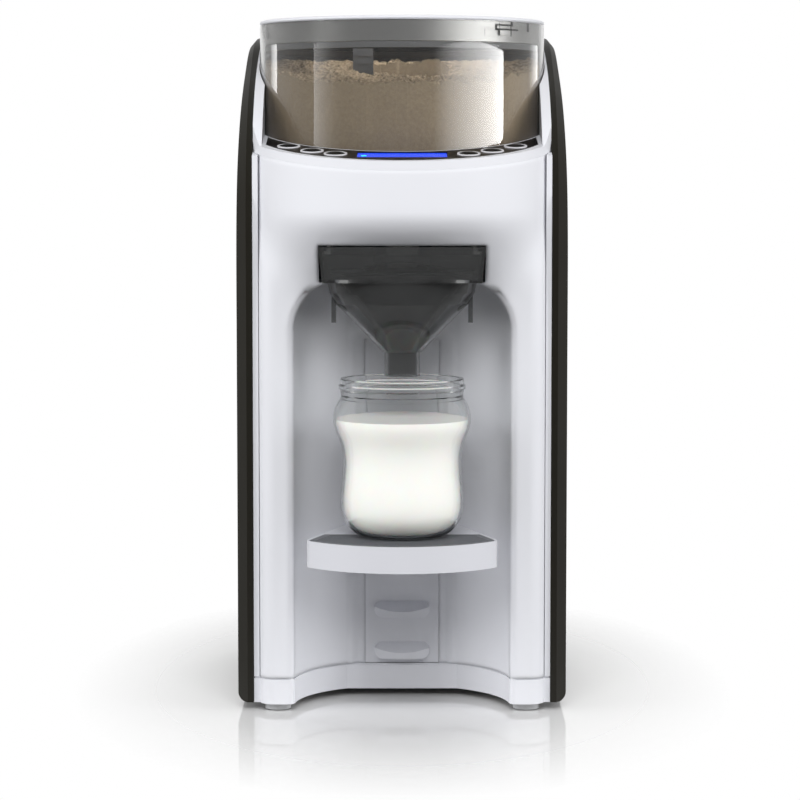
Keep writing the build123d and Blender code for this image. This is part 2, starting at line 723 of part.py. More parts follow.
with BuildPart() as drive_bush:
    with Locations((0, CONTAINER_Y, DECK_Z - DECK_T)):
        Cylinder(BUSH_R, DECK_T, align=UP)
        Cylinder(BUSH_R + 2, 1.5, align=DOWN)
        Cylinder(SHAFT_R + FIT, 4 * DECK_T, mode=Mode.SUBTRACT)
keep(drive_bush, "drive_bush")

GEAR_POSTS = ((-38, -52), (38, -52), (-38, 4), (38, 4))
with BuildPart() as gear_plate:
    with Locations((0, -20.5, PLATE_LOW_Z)):
        Box(88, 73, PLATE_T, align=UP)
    with Locations(*[(x, y, PLATE_LOW_Z + PLATE_T) for x, y in GEAR_POSTS]):
        Cylinder(POST_R, DECK_Z - DECK_T - PLATE_LOW_Z - PLATE_T, align=UP)
    with Locations((0, CONTAINER_Y, PLATE_LOW_Z)):
        Cylinder(SHAFT_R + FIT, 4 * PLATE_T, mode=Mode.SUBTRACT)
    with Locations((0, PINION_Y, PLATE_LOW_Z)):
        Cylinder(PINION_SHAFT_R + 1, 4 * PLATE_T, mode=Mode.SUBTRACT)
keep(gear_plate, "gear_plate")

with BuildPart() as dosing_motor:
    with Locations((0, PINION_Y, PLATE_LOW_Z)):
        Cylinder(18.5, 10, align=DOWN)
        Cylinder(17, 46, align=DOWN)
        Cylinder(6, 49, align=DOWN)
        Cylinder(PINION_SHAFT_R + FIT, 12, mode=Mode.SUBTRACT)
keep(dosing_motor, "dosing_motor")

with BuildPart() as drive_gear:
    with BuildSketch(Plane.XY.offset(GEAR_LOW_Z)):
        with Locations((0, CONTAINER_Y)):
            Polygon(*gear_outline(DRIVE_TEETH, DRIVE_ADDENDUM), align=None)
        with Locations((0, CONTAINER_Y)):
            with PolarLocations(18, 5):
                Circle(5.5, mode=Mode.SUBTRACT)
    extrude(amount=GEAR_T)
    with Locations((0, CONTAINER_Y, PLATE_LOW_Z + PLATE_T + GAP)):
        Cylinder(9, GEAR_LOW_Z - PLATE_LOW_Z - PLATE_T - GAP, align=UP)
    with Locations((0, CONTAINER_Y, PLATE_LOW_Z - 2)):
        Cylinder(SHAFT_R, DECK_Z - PLATE_LOW_Z + 2, align=UP)
    with Locations((0, CONTAINER_Y, DECK_Z)):
        Box(DOG_W, DOG_T, DOG_TOP_Z - DECK_Z, align=UP)
keep(drive_gear, "drive_gear")

with BuildPart() as pinion:
    with BuildSketch(Plane.XY.offset(GEAR_LOW_Z)):
        with Locations(Location((0, PINION_Y), 180 / PINION_TEETH)):
            Polygon(*gear_outline(PINION_TEETH, 1), align=None)
    extrude(amount=GEAR_T)
    with Locations((0, PINION_Y, PLATE_LOW_Z - 5.8)):
        Cylinder(PINION_SHAFT_R, GEAR_LOW_Z - PLATE_LOW_Z + 5.8, align=UP)
keep(pinion, "pinion")

# ---------------------------------------------------------------- dispenser over the funnel
FRAME_LOW_Z = 271.0
FRAME_T = 2.5
FRAME_TOP_Z = FRAME_LOW_Z + FRAME_T
RAIL_WEB_X = 40.4
RAIL_WEB_T = 1.8
RAIL_FLANGE_X = 44.1
RAIL_FLANGE_Z = (264.3, 266.3)
RAIL_Y = (-128.0, -78.0)
CHUTE_R = 9.5
CHUTE_END_R = 7.0
CHUTE_END_Y = -100.0
CHUTE_END_Z = 263.0
CHUTE_WALL = 1.8
NOZZLE_Y = -130.0
NOZZLE_R = 3.0
NOZZLE_PORT_X = 10.0
NOZZLE_PORT_Z = 280.0
DISPENSER_POSTS = ((-36, -78), (36, -78), (-30, -104), (30, -104))


def chute_form(wall):
    with BuildPart() as chute:
        for y, z, r in (
            (OUTLET_Y, DECK_Z - DECK_T, CHUTE_R),
            (OUTLET_Y, FRAME_TOP_Z + 2, CHUTE_R),
            (CHUTE_END_Y, CHUTE_END_Z, CHUTE_END_R),
        ):
            with BuildSketch(Plane.XY.offset(z)):
                with Locations((0, y)):
                    Circle(r + wall)
        loft(ruled=True)
    return chute.part


with BuildPart() as dispenser_frame:
    with BuildSketch(Plane.XY.offset(FRAME_LOW_Z)):
        with Locations((0, RAIL_Y[0])):
            Rectangle(100, 62, align=(Align.CENTER, Align.MIN))
        with Locations((0, NOZZLE_Y - 8)):
            Rectangle(40, 40, align=(Align.CENTER, Align.MIN))
    extrude(amount=FRAME_T)
    add(chute_form(CHUTE_WALL))
    add(chute_form(0), mode=Mode.SUBTRACT)
    with Locations((0, NOZZLE_Y, FRAME_LOW_Z)):
        Cylinder(NOZZLE_R + 0.1, 4 * FRAME_T, mode=Mode.SUBTRACT)
    with Locations(*[(x, y, FRAME_TOP_Z) for x, y in DISPENSER_POSTS]):
        Cylinder(POST_R, DECK_Z - DECK_T - FRAME_TOP_Z, align=UP)
    for side in (-1, 1):
        with Locations((side * (RAIL_WEB_X + RAIL_WEB_T / 2), RAIL_Y[0], RAIL_FLANGE_Z[0])):
            Box(
                RAIL_WEB_T,
                RAIL_Y[1] - RAIL_Y[0],
                FRAME_LOW_Z - RAIL_FLANGE_Z[0],
                align=(Align.CENTER, Align.MIN, Align.MIN),
            )
        with Locations((side * (RAIL_WEB_X + RAIL_FLANGE_X) / 2, RAIL_Y[0], RAIL_FLANGE_Z[0])):
            Box(
                RAIL_FLANGE_X - RAIL_WEB_X,
                RAIL_Y[1] - RAIL_Y[0],
                RAIL_FLANGE_Z[1] - RAIL_FLANGE_Z[0],
                align=(Align.CENTER, Align.MIN, Align.MIN),
            )
keep(dispenser_frame, "dispenser_frame")

with BuildPart() as water_nozzle:
    with Locations((0, NOZZLE_Y, FRAME_TOP_Z)):
        Cylinder(6, 2, align=UP)
        Cylinder(NOZZLE_R, 4, align=DOWN)
        Cylinder(4, 11, align=UP)
    with Locations((0, NOZZLE_Y, NOZZLE_PORT_Z)):
        Cylinder(3.3, NOZZLE_PORT_X, rotation=(0, 90, 0), align=UP)
        Cylinder(1.2, NOZZLE_PORT_X, rotation=(0, 90, 0), align=UP, mode=Mode.SUBTRACT)
    with Locations((0, NOZZLE_Y, NOZZLE_PORT_Z)):
        Cylinder(1.2, 40, align=DOWN, mode=Mode.SUBTRACT)
keep(water_nozzle, "water_nozzle")

# ---------------------------------------------------------------- funnel and its pull-out holder
HOLDER_LOW_HALF_W = 44.6
HOLDER_FLOOR = 2.0
HOLDER_FRONT_WALL = 3.8
HOLDER_BACK_TOP_Z = 262.0
LIP_LOW_Z = RAIL_FLANGE_Z[1] + GAP
LIP_X = RAIL_WEB_X + RAIL_WEB_T + GAP
SCOOP_TOP_Z = 258.0
SCOOP_DEPTH = 2.4
GRIP_HALF_W = 22.7
GRIP_Z = (254.0, 260.3)
GRIP_PROUD = 1.5
MOUTH_A = 41.2  # the funnel's neck is an oval: half its width and half its depth
MOUTH_B = 31.2
STEM_R = 10.1
FUNNEL_WALL = 1.8


def oval(z, a, b):
    with BuildSketch(Plane.XY.offset(z)) as sketch:
        with Locations((0, SPOUT_Y)):
            Ellipse(a, b)
    return sketch.sketch


def oval_stack(sections):
    """Ruled stack of ovals, each given as height, half width and half depth."""
    with BuildPart() as stack:
        for z, a, b in sections:
            add(oval(z, a, b))
        loft(ruled=True)
    return stack.part


def holder_outline(inset, low, high):
    """Front view of the holder between two heights: its sides lean out upwards."""
    spread = (HOLDER_HALF_W - HOLDER_LOW_HALF_W) / (HOLDER_TOP_Z - HOLDER_LOW_Z)
    low_x = HOLDER_LOW_HALF_W + spread * (low - HOLDER_LOW_Z) - inset
    high_x = HOLDER_LOW_HALF_W + spread * (high - HOLDER_LOW_Z) - inset
    with BuildSketch(facing_front(HOLDER_FRONT_Y)) as outline:
        Polygon((-low_x, low), (low_x, low), (high_x, high), (-high_x, high), align=None)
    return outline.sketch


def lens(half_w, low, high):
    """Front view of a lens between two heights."""
    middle = (low + high) / 2
    with BuildSketch(facing_front(HOLDER_FRONT_Y)) as outline:
        with BuildLine():
            ThreePointArc((-half_w, middle), (0, high), (half_w, middle))
            ThreePointArc((half_w, middle), (0, low), (-half_w, middle))
        make_face()
    return outline.sketch


holder_d = HOLDER_BACK_Y - HOLDER_FRONT_Y
with BuildPart() as funnel_holder:
    extrude(holder_outline(0, HOLDER_LOW_Z, HOLDER_TOP_Z), amount=-holder_d)
    with BuildPart(mode=Mode.SUBTRACT) as holder_cavity:
        extrude(
            holder_outline(HOLDER_WALL, HOLDER_LOW_Z + HOLDER_FLOOR, LIP_LOW_Z),
            amount=HOLDER_WALL - holder_d,
        )
        extrude(holder_outline(HOLDER_WALL, HOLDER_BACK_TOP_Z, LIP_LOW_Z), amount=-2 * holder_d)
        with Locations((0, HOLDER_FRONT_Y, HOLDER_BACK_TOP_Z)):
            Box(2 * LIP_X, 2 * holder_d, 20, align=(Align.CENTER, Align.MIN, Align.MIN))
        with Locations((0, HOLDER_FRONT_Y + HOLDER_FRONT_WALL, 0)):
            Box(
                4 * HOLDER_HALF_W,
                holder_d,
                2 * HOLDER_TOP_Z,
                align=(Align.CENTER, Align.MAX, Align.MIN),
                mode=Mode.SUBTRACT,
            )
    extrude(oval(HOLDER_LOW_Z - 1, MOUTH_A + GAP, MOUTH_B + GAP), amount=2 * HOLDER_FLOOR, mode=Mode.SUBTRACT)
    extrude(lens(GRIP_HALF_W, *GRIP_Z), amount=GRIP_PROUD)
    # finger scoop: a shallow spherical hollow over the whole width of the front
    scoop_h = SCOOP_TOP_Z - HOLDER_LOW_Z
    ring_r = (HOLDER_LOW_HALF_W**2 + scoop_h**2) / (2 * scoop_h)
    scoop_d = (HOLDER_LOW_HALF_W**2 - SCOOP_DEPTH**2) / (2 * SCOOP_DEPTH)
    with Locations((0, HOLDER_FRONT_Y - scoop_d, SCOOP_TOP_Z - ring_r)):
        Sphere(math.hypot(ring_r, scoop_d), mode=Mode.SUBTRACT)
keep(funnel_holder, "funnel_holder")

with BuildPart() as funnel:
    add(oval_stack(((248.5, 42.8, 33.5), (242, 41.3, 32.3), (236, 38.2, 30.4), (208.3, 11.2, 11.2))))
    extrude(oval(SPOUT_TIP_Z, STEM_R, STEM_R), amount=14)
    extrude(oval(248.5, MOUTH_A, MOUTH_B), amount=4.5)
    extrude(oval(251, MOUTH_A + 1.2, MOUTH_B + 1.2), amount=2)
    for side in (-1, 1):
        with Locations((side * 38.9, SPOUT_Y, 225)):
            Box(2.6, 6, 18, align=UP)
    extrude(oval(241.9, MOUTH_A - 1.4, MOUTH_B - 1.4), amount=12, mode=Mode.SUBTRACT)
    add(
        oval_stack(((242, MOUTH_A - 1.4, MOUTH_B - 1.4), (236.5, 35.6, 28.0), (208.6, 8.5, 8.5))),
        mode=Mode.SUBTRACT,
    )
    extrude(oval(SPOUT_TIP_Z, STEM_R - FUNNEL_WALL, STEM_R - FUNNEL_WALL), amount=20, mode=Mode.SUBTRACT)
keep(funnel, "funnel")

COVER_WALL = 1.4
COVER_PROFILE = ((253.2, 36.6, 27.6), (235, 22, 18), (222, 12, 12), (210, 5.8, 5.8))
with BuildPart() as funnel_cover:
    extrude(oval(253.2, MOUTH_A - 0.2, MOUTH_B - 0.2), amount=1.2)
    add(oval_stack(COVER_PROFILE))
    add(
        oval_stack([(z, a - COVER_WALL, b - COVER_WALL) for z, a, b in COVER_PROFILE]),
        mode=Mode.SUBTRACT,
    )
    with Locations((0, -101, 253)):
        Cylinder(9, 8, mode=Mode.SUBTRACT)
    with Locations((0, NOZZLE_Y, 253)):
        Cylinder(4.5, 8, mode=Mode.SUBTRACT)
keep(funnel_cover, "funnel_cover")

# ---------------------------------------------------------------- bottle tray
TRAY_LOW_Z = 87.3
TRAY_CORNER = (54.7, -136.5)
TRAY_BACK = (33.0, -64.8)
GRILLE_LOW_Z = 99.2
GRILLE_BACK_Y = -109.0
GRILLE_MARGIN = 1.4
BASIN_MARGIN = 4.5
BASIN_LOW_Z = 90.0
SLOT_W = 2.2
SLOT_PITCH = 4.4
YOKE_HALF_W = 20.0


def tray_plan(z, inset):
    """Plan of the tray: bowed front, sides that close in towards the back."""
    corner_x = TRAY_CORNER[0] - inset
    back_x = TRAY_BACK[0] - inset
    with BuildSketch(Plane.XY.offset(z)) as plan:
        with BuildLine():
            Polyline(
                (corner_x, TRAY_CORNER[1]),
                (back_x, TRAY_BACK[1] - inset),
                (-back_x, TRAY_BACK[1] - inset),
                (-corner_x, TRAY_CORNER[1]),
            )
            ThreePointArc(
                (-corner_x, TRAY_CORNER[1]), (0, TRAY_FRONT_Y + inset), (corner_x, TRAY_CORNER[1])
            )
        make_face()
        fillet(plan.vertices().group_by(Axis.Y)[0], 8 - inset)
    return plan.sketch


with BuildPart() as tray_body:
    extrude(tray_plan(TRAY_LOW_Z, 0), amount=TRAY_TOP_Z - TRAY_LOW_Z)
    with BuildPart(mode=Mode.SUBTRACT) as tray_recess:
        extrude(tray_plan(GRILLE_LOW_Z, GRILLE_MARGIN), amount=10)
        extrude(tray_plan(BASIN_LOW_Z, BASIN_MARGIN), amount=20)
        with Locations((0, GRILLE_BACK_Y, 0)):
            Box(
                300, 300, 300, align=(Align.CENTER, Align.MIN, Align.MIN), mode=Mode.SUBTRACT
            )
    with Locations((0, TRAY_BACK[1], TRAY_TOP_Z)):
        Box(2 * TRAY_BACK[0] - 2, 3, 2.7, align=(Align.CENTER, Align.MAX, Align.MIN))
    # yoke that hangs over a ledge of the height panel
    with Locations((0, TRAY_BACK[1], LEDGE_Z[2])):
        Box(2 * YOKE_HALF_W, 11.4, TRAY_LOW_Z - LEDGE_Z[2], align=(Align.CENTER, Align.MAX, Align.MIN))
    with Locations((0, TRAY_BACK[1], LEDGE_Z[2] - 1)):
        Box(
            2 * (LEDGE_HALF_W + 0.6),
            2 * 5.8,
            LEDGE_H / 2 + GAP + 1,
            align=(Align.CENTER, Align.CENTER, Align.MIN),
            mode=Mode.SUBTRACT,
        )
keep(tray_body, "tray_body")

with BuildPart() as tray_grille:
    extrude(tray_plan(GRILLE_LOW_Z, GRILLE_MARGIN + GAP), amount=TRAY_TOP_Z - GRILLE_LOW_Z)
    with Locations((0, GRILLE_BACK_Y - GAP, 0)):
        Box(300, 300, 300, align=(Align.CENTER, Align.MIN, Align.MIN), mode=Mode.SUBTRACT)
    with BuildSketch(Plane.XY.offset(GRILLE_LOW_Z)) as slots:
        add(tray_plan(GRILLE_LOW_Z, BASIN_MARGIN + 1))
        with BuildSketch(Plane.XY, mode=Mode.INTERSECT):
            for row in range(11):
                with Locations((0, GRILLE_BACK_Y - 5 - SLOT_PITCH * row)):
                    Rectangle(120, SLOT_W)
    extrude(amount=10, mode=Mode.SUBTRACT)
keep(tray_grille, "tray_grille")

# ---------------------------------------------------------------- bottle
BOTTLE_LOW_Z = 102.6
BOTTLE_WALL = 1.6
BOTTLE_RIM_Z = 193.2
MILK_TOP_Z = 170.0
BOTTLE_FOOT_R = 22.0
# Radius, height, and how much of a wall's thickness the inner side lies further in and higher
BOTTLE_CURVE = (
    (BOTTLE_FOOT_R + 7.0, 106.2, 0.6, 1.0),
    (34.1, 114.0, 0.95, 0.4),
    (35.3, 122.0, 1, 0),
    (33.9, 142.0, 1, 0),
    (35.8, 157.0, 1, 0),
    (39.2, 167.0, 1, 0),
    (38.9, 174.0, 1, 0),
    (35.4, 181.5, 1, 0),
)


def bottle_form(inset, low, high, neck):
    """Turned solid inside the bottle's outline by inset, between two heights."""
    with BuildPart() as form:
        with BuildSketch(Plane(origin=(0, SPOUT_Y, 0), x_dir=(1, 0, 0), z_dir=(0, -1, 0))):
            with BuildLine():
                foot = (BOTTLE_FOOT_R - inset, low)
                curve = [(r - inset * inward, z + inset * upward) for r, z, inward, upward in BOTTLE_CURVE]
                Polyline((0, high), (0, low), foot)
                Spline(foot, *curve)
                Polyline(curve[-1], *neck, (0, high))
            make_face()
        revolve(axis=Axis((0, SPOUT_Y, 0), (0, 0, 1)))
    return form.part


with BuildPart() as bottle:
    add(
        bottle_form(
            0,
            BOTTLE_LOW_Z,
            BOTTLE_RIM_Z,
            (
                (35.0, 183.4),
                (35.4, 186.6),
                (36.3, 187.4),
                (36.3, 189.2),
                (35.4, 190.0),
                (35.4, BOTTLE_RIM_Z - 0.6),
                (34.8, BOTTLE_RIM_Z),
            ),
        )
    )
    add(
        bottle_form(
            BOTTLE_WALL,
            BOTTLE_LOW_Z + 2,
            BOTTLE_RIM_Z + 5,
            ((33.0, 184.0), (32.8, BOTTLE_RIM_Z + 5)),
        ),
        mode=Mode.SUBTRACT,
    )
keep(bottle, "bottle")

with BuildPart() as milk:
    add(
        bottle_form(
            BOTTLE_WALL + 0.15,
            BOTTLE_LOW_Z + 2.15,
            BOTTLE_RIM_Z + 5,
            ((32.8, 184.0), (32.6, BOTTLE_RIM_Z + 5)),
        )
    )
    split(bisect_by=Plane.XY.offset(MILK_TOP_Z), keep=Keep.BOTTOM)
keep(milk, "milk")

# ---------------------------------------------------------------- powder container
FLOOR_LOW_Z = DECK_Z + GAP
FLOOR_TOP_Z = FLOOR_LOW_Z + 3.0
WHEEL_LOW_Z = FLOOR_TOP_Z + GAP
WHEEL_T = 6.0
WHEEL_TOP_Z = WHEEL_LOW_Z + WHEEL_T
HUB_R = 9.42
HUB_FIT = 0.08
OUTLET_HOLE_D_R = 8.0
POCKET_R = 7.0
POCKETS = 9
LUG_ANGLES = (45.5, 165.5, 285.5)  # from the front, towards the user's right
LUG_HALF_ANGLE = 3.0
LUG_Z = (CONTAINER_TOP_Z - 8, CONTAINER_TOP_Z - 5)
LOCK_TURN = 7.5
LUG_PLAY = 0.4


def wedge(inner, outer, low, high, start, end):
    """Piece of a ring between two angles from the front, towards the user's right."""
    first, last = math.radians(start - 90), math.radians(end - 90)
    middle = (first + last) / 2
    with BuildPart() as piece:
        with BuildSketch(Plane.XY.offset(low)):
            with Locations((0, CONTAINER_Y)):
                Circle(outer)
                Circle(inner, mode=Mode.SUBTRACT)
            with BuildSketch(Plane.XY, mode=Mode.INTERSECT):
                reach = 2 * outer
                with Locations((0, CONTAINER_Y)):
                    Polygon(
                        (0, 0),
                        (reach * math.cos(first), reach * math.sin(first)),
                        (reach * math.cos(middle), reach * math.sin(middle)),
                        (reach * math.cos(last), reach * math.sin(last)),
                        align=None,
                    )
        extrude(amount=high - low)
    return piece.part


CONTAINER_INNER_R = CONTAINER_R - CONTAINER_WALL
FOOT_INNER_R = CONTAINER_FOOT_R - CONTAINER_WALL
FOOT_TOP_Z = SHOULDER_Z - 5.0
WHEEL_R = FOOT_INNER_R - 1.1
GROOVE_R = CONTAINER_INNER_R + 0.6
LUG_R = GROOVE_R - GAP
with BuildPart() as container_base:
    add(
        turned(
            (
                (0, FLOOR_LOW_Z),
                (CONTAINER_FOOT_R, FLOOR_LOW_Z),
                (CONTAINER_FOOT_R, FOOT_TOP_Z),
                (CONTAINER_R, SHOULDER_Z),
                (CONTAINER_INNER_R, SHOULDER_Z),
                (FOOT_INNER_R, FOOT_TOP_Z),
                (FOOT_INNER_R, FLOOR_TOP_Z),
                (0, FLOOR_TOP_Z),
            ),
            CONTAINER_Y,
        )
    )
    with Locations((0, CONTAINER_Y, FLOOR_LOW_Z)):
        Cylinder(HUB_R + HUB_FIT, 20, mode=Mode.SUBTRACT)
    with Locations((0, OUTLET_Y, FLOOR_LOW_Z)):
        Cylinder(OUTLET_HOLE_D_R, 20, mode=Mode.SUBTRACT)
keep(container_base, "container_base")

with BuildPart() as powder_container:
    with Locations((0, CONTAINER_Y, SHOULDER_Z)):
        Cylinder(CONTAINER_R, CONTAINER_TOP_Z - SHOULDER_Z, align=UP)
        Cylinder(CONTAINER_INNER_R, CONTAINER_TOP_Z - SHOULDER_Z, align=UP, mode=Mode.SUBTRACT)
    # L-shaped grooves for the lid's lugs
    for angle in LUG_ANGLES:
        start = angle - LUG_HALF_ANGLE - LUG_PLAY
        end = angle + LUG_HALF_ANGLE + LUG_PLAY
        low, high = LUG_Z[0] - LUG_PLAY, LUG_Z[1] + LUG_PLAY
        add(wedge(60, GROOVE_R, low, CONTAINER_TOP_Z + 1, start, end), mode=Mode.SUBTRACT)
        add(wedge(60, GROOVE_R, low, high, start - LOCK_TURN, end), mode=Mode.SUBTRACT)
keep(powder_container, "powder_container")

with BuildPart() as dosing_wheel:
    with BuildSketch(Plane.XY.offset(WHEEL_LOW_Z)):
        with Locations((0, CONTAINER_Y)):
            Circle(WHEEL_R)
            with PolarLocations(OUTLET_R, POCKETS, start_angle=-90 + 180 / POCKETS):
                Circle(POCKET_R, mode=Mode.SUBTRACT)
    extrude(amount=WHEEL_T)
    with Locations((0, CONTAINER_Y, FLOOR_LOW_Z + GAP)):
        Cylinder(HUB_R, WHEEL_LOW_Z - FLOOR_LOW_Z - GAP, align=UP)
        Box(DOG_W + 0.2, DOG_T + 0.4, 4, align=UP, mode=Mode.SUBTRACT)
keep(dosing_wheel, "dosing_wheel")

SHIELD_Z = (WHEEL_TOP_Z + GAP, WHEEL_TOP_Z + 2.4)
with BuildPart() as outlet_cover:
    with BuildSketch(Plane.XY.offset(SHIELD_Z[0])):
        with Locations((0, CONTAINER_Y)):
            Circle(FOOT_INNER_R)
        with Locations((0, OUTLET_Y + 13)):
            Rectangle(28, 60, align=(Align.CENTER, Align.MAX), mode=Mode.INTERSECT)
    extrude(amount=SHIELD_Z[1] - SHIELD_Z[0])
keep(outlet_cover, "outlet_cover")

ARM_Z = (310.0, 314.0)
FIN_R = (17.0, 29.0)
FIN_TOP_Z = CONTAINER_TOP_Z - 13.0
FIN_T = 3.0
RIB_PITCH = 4.5
with BuildPart() as stirrer:
    with Locations((0, CONTAINER_Y, WHEEL_TOP_Z)):
        Cylinder(12, 9, align=UP)
    with Locations((0, CONTAINER_Y, ARM_Z[0])):
        with PolarLocations(0, 3, start_angle=60):
            Box(70, 5, ARM_Z[1] - ARM_Z[0], align=(Align.MIN, Align.CENTER, Align.MIN))
    with Locations((-FIN_R[0], CONTAINER_Y, ARM_Z[0])):
        Box(FIN_R[1] - FIN_R[0], FIN_T, FIN_TOP_Z - ARM_Z[0], align=(Align.MAX, Align.CENTER, Align.MIN))
    rib_z = ARM_Z[1] + 6
    while rib_z < FIN_TOP_Z - 2:
        with Locations((-FIN_R[0] - 1, CONTAINER_Y, rib_z)):
            Box(FIN_R[1] - FIN_R[0] - 2, FIN_T + 1.6, 1.2, align=(Align.MAX, Align.CENTER, Align.MIN))
        rib_z += RIB_PITCH
keep(stirrer, "stirrer")

POWDER_R = (FIN_R[1] + 2.5, CONTAINER_INNER_R - 0.2)
POWDER_EDGE_Z = CONTAINER_TOP_Z - 32.0
POWDER_CREST_Z = CONTAINER_TOP_Z - 18.0
POWDER_CREST_R = 46.0
with BuildPart() as formula_powder:
    add(
        turned(
            (
                (POWDER_R[0], SHOULDER_Z + GAP),
                (POWDER_R[1], SHOULDER_Z + GAP),
                (POWDER_R[1], POWDER_EDGE_Z),
                (blend(POWDER_R[1], POWDER_CREST_R, 0.3), blend(POWDER_EDGE_Z, POWDER_CREST_Z, 0.45)),
                (blend(POWDER_R[1], POWDER_CREST_R, 0.65), blend(POWDER_EDGE_Z, POWDER_CREST_Z, 0.85)),
                (POWDER_CREST_R, POWDER_CREST_Z),
                (POWDER_R[0], POWDER_CREST_Z - 1),
            ),
            CONTAINER_Y,
        )
    )
keep(formula_powder, "formula_powder")

# ---------------------------------------------------------------- container lid
LID_SKIRT_R = CONTAINER_INNER_R - 0.9
LID_SKIRT_LOW_Z = CONTAINER_TOP_Z - 11.7
LID_LOW_Z = CONTAINER_TOP_Z + GAP
LID_RIM_R = LID_SKIRT_R - 3.8
LID_RIM_WALL = 2.4
GASKET_R = (LID_SKIRT_R - 2.7, LID_SKIRT_R + 0.2)
GASKET_LOW_Z = LID_SKIRT_LOW_Z - 3.7
with BuildPart() as lid_gasket:
    add(
        turned(
            (
                (GASKET_R[0], GASKET_LOW_Z),
                (GASKET_R[1], GASKET_LOW_Z),
                (GASKET_R[1], LID_SKIRT_LOW_Z - GAP),
                (GASKET_R[0], LID_SKIRT_LOW_Z - GAP),
            ),
            CONTAINER_Y,
        )
    )
keep(lid_gasket, "lid_gasket")

with BuildPart() as lid_plug:
    with Locations((0, CONTAINER_Y, LID_SKIRT_LOW_Z)):
        Cylinder(LID_RIM_R, LID_LOW_Z - LID_SKIRT_LOW_Z, align=UP)
        Cylinder(LID_RIM_R - LID_RIM_WALL, LID_LOW_Z - LID_SKIRT_LOW_Z, align=UP, mode=Mode.SUBTRACT)
keep(lid_plug, "lid_plug")

with BuildPart() as lid_skirt:
    add(
        turned(
            (
                (LID_RIM_R + FIT, LID_SKIRT_LOW_Z),
                (LID_SKIRT_R, LID_SKIRT_LOW_Z),
                (LID_SKIRT_R, LID_LOW_Z),
                (LID_RIM_R + FIT, LID_LOW_Z),
            ),
            CONTAINER_Y,
        )
    )
    for angle in LUG_ANGLES:
        add(wedge(LID_SKIRT_R - 1, LUG_R, *LUG_Z, angle - LUG_HALF_ANGLE, angle + LUG_HALF_ANGLE))
keep(lid_skirt, "lid_skirt")

with BuildPart() as lid_cap:
    add(
        turned(
            (
                (0, LID_LOW_Z),
                (CONTAINER_R - 0.6, LID_LOW_Z),
                (CONTAINER_R, LID_LOW_Z + 0.7),
                (CONTAINER_R, LID_LOW_Z + 1.6),
                (CONTAINER_R - 0.8, LID_TOP_Z - 1.0),
                (CONTAINER_R - 6, LID_TOP_Z - 0.7),
                (CONTAINER_R * 0.6, LID_TOP_Z - 0.2),
                (0, LID_TOP_Z),
            ),
            CONTAINER_Y,
        )
    )
keep(lid_cap, "lid_cap")

# ---------------------------------------------------------------- base
BASE_WALL = 2.5
BASE_PLATE_T = 2.5
GROOVE = 0.8
SCREW_SPOTS = [(side * x, y) for side in (-1, 1) for x, y in ((75.5, -85), (79, 10), (79, 85))]
SCREW_R = 1.5
SCREW_HEAD_R = 3.0
FOOT_R = 7.5
FOOT_SPOTS = [(side * x, y) for side in (-1, 1) for x, y in ((72, -102), (60, 130))]


def base_form(low, high, inset, bay_grow):
    """Foot print of the machine between two heights, without the bay."""
    with BuildPart() as form:
        with BuildSketch(Plane.XY.offset(low)):
            add(front_section(0, 0, inset))
            add(case_plan(0, inset, CASE_FRONT_Y + inset))
        extrude(amount=high - low)
        add(bay_solid(bay_grow, bay_grow), mode=Mode.SUBTRACT)
    return form.part


with BuildPart() as base_skirt:
    add(base_form(FOOT_H, SEAM_Z - GROOVE, 0, 0))
    add(base_form(SEAM_Z - GROOVE, SEAM_Z, GROOVE, GROOVE))
    add(base_form(FOOT_H, SEAM_Z, BASE_WALL, BASE_WALL), mode=Mode.SUBTRACT)
    with Locations(*[(x, y, FOOT_H + BASE_PLATE_T) for x, y in SCREW_SPOTS]):
        Cylinder(4.5, 11, align=UP)
        Cylinder(SCREW_R, 10, align=UP, mode=Mode.SUBTRACT)
    add(rounded_mouth(), mode=Mode.SUBTRACT)
keep(base_skirt, "base_skirt")

with BuildPart() as base_plate:
    add(base_form(FOOT_H, FOOT_H + BASE_PLATE_T, BASE_WALL + SEAM_GAP, BASE_WALL + SEAM_GAP))
    with Locations(*[(x, y, FOOT_H) for x, y in SCREW_SPOTS]):
        Cylinder(SCREW_R, 10, mode=Mode.SUBTRACT)
        Cylinder(SCREW_HEAD_R, 2 * 1.6, mode=Mode.SUBTRACT)
keep(base_plate, "base_plate")

with BuildPart() as case_screws:
    with Locations(*[(x, y, FOOT_H) for x, y in SCREW_SPOTS]):
        Cylinder(SCREW_HEAD_R, 1.6, align=UP)
        Cylinder(SCREW_R, 11, align=UP)
keep(case_screws, "case_screws")

with BuildPart() as feet:
    with Locations(*[(x, y, 0) for x, y in FOOT_SPOTS]):
        Cylinder(FOOT_R, FOOT_H, align=UP)
keep(feet, "feet")

# ---------------------------------------------------------------- water tank and dock
TANK_SIDE_Y = 125.0
TANK_CORNER_R = 12.0
TANK_GAP = 0.6
TANK_FRONT_Y = CASE_BACK_Y + 0.7
TANK_LOW_Z = DOCK_TOP_Z + GAP
SOCKET_Y = 128.0
SPIGOT_R = 11.0
SPIGOT_LOW_Z = 140.0
SPIGOT_BORE_R = 8.6
SOCKET_LOW_Z = 134.0
SEAT_HOLE_R = 4.5
PIN_TOP_Z = 137.7


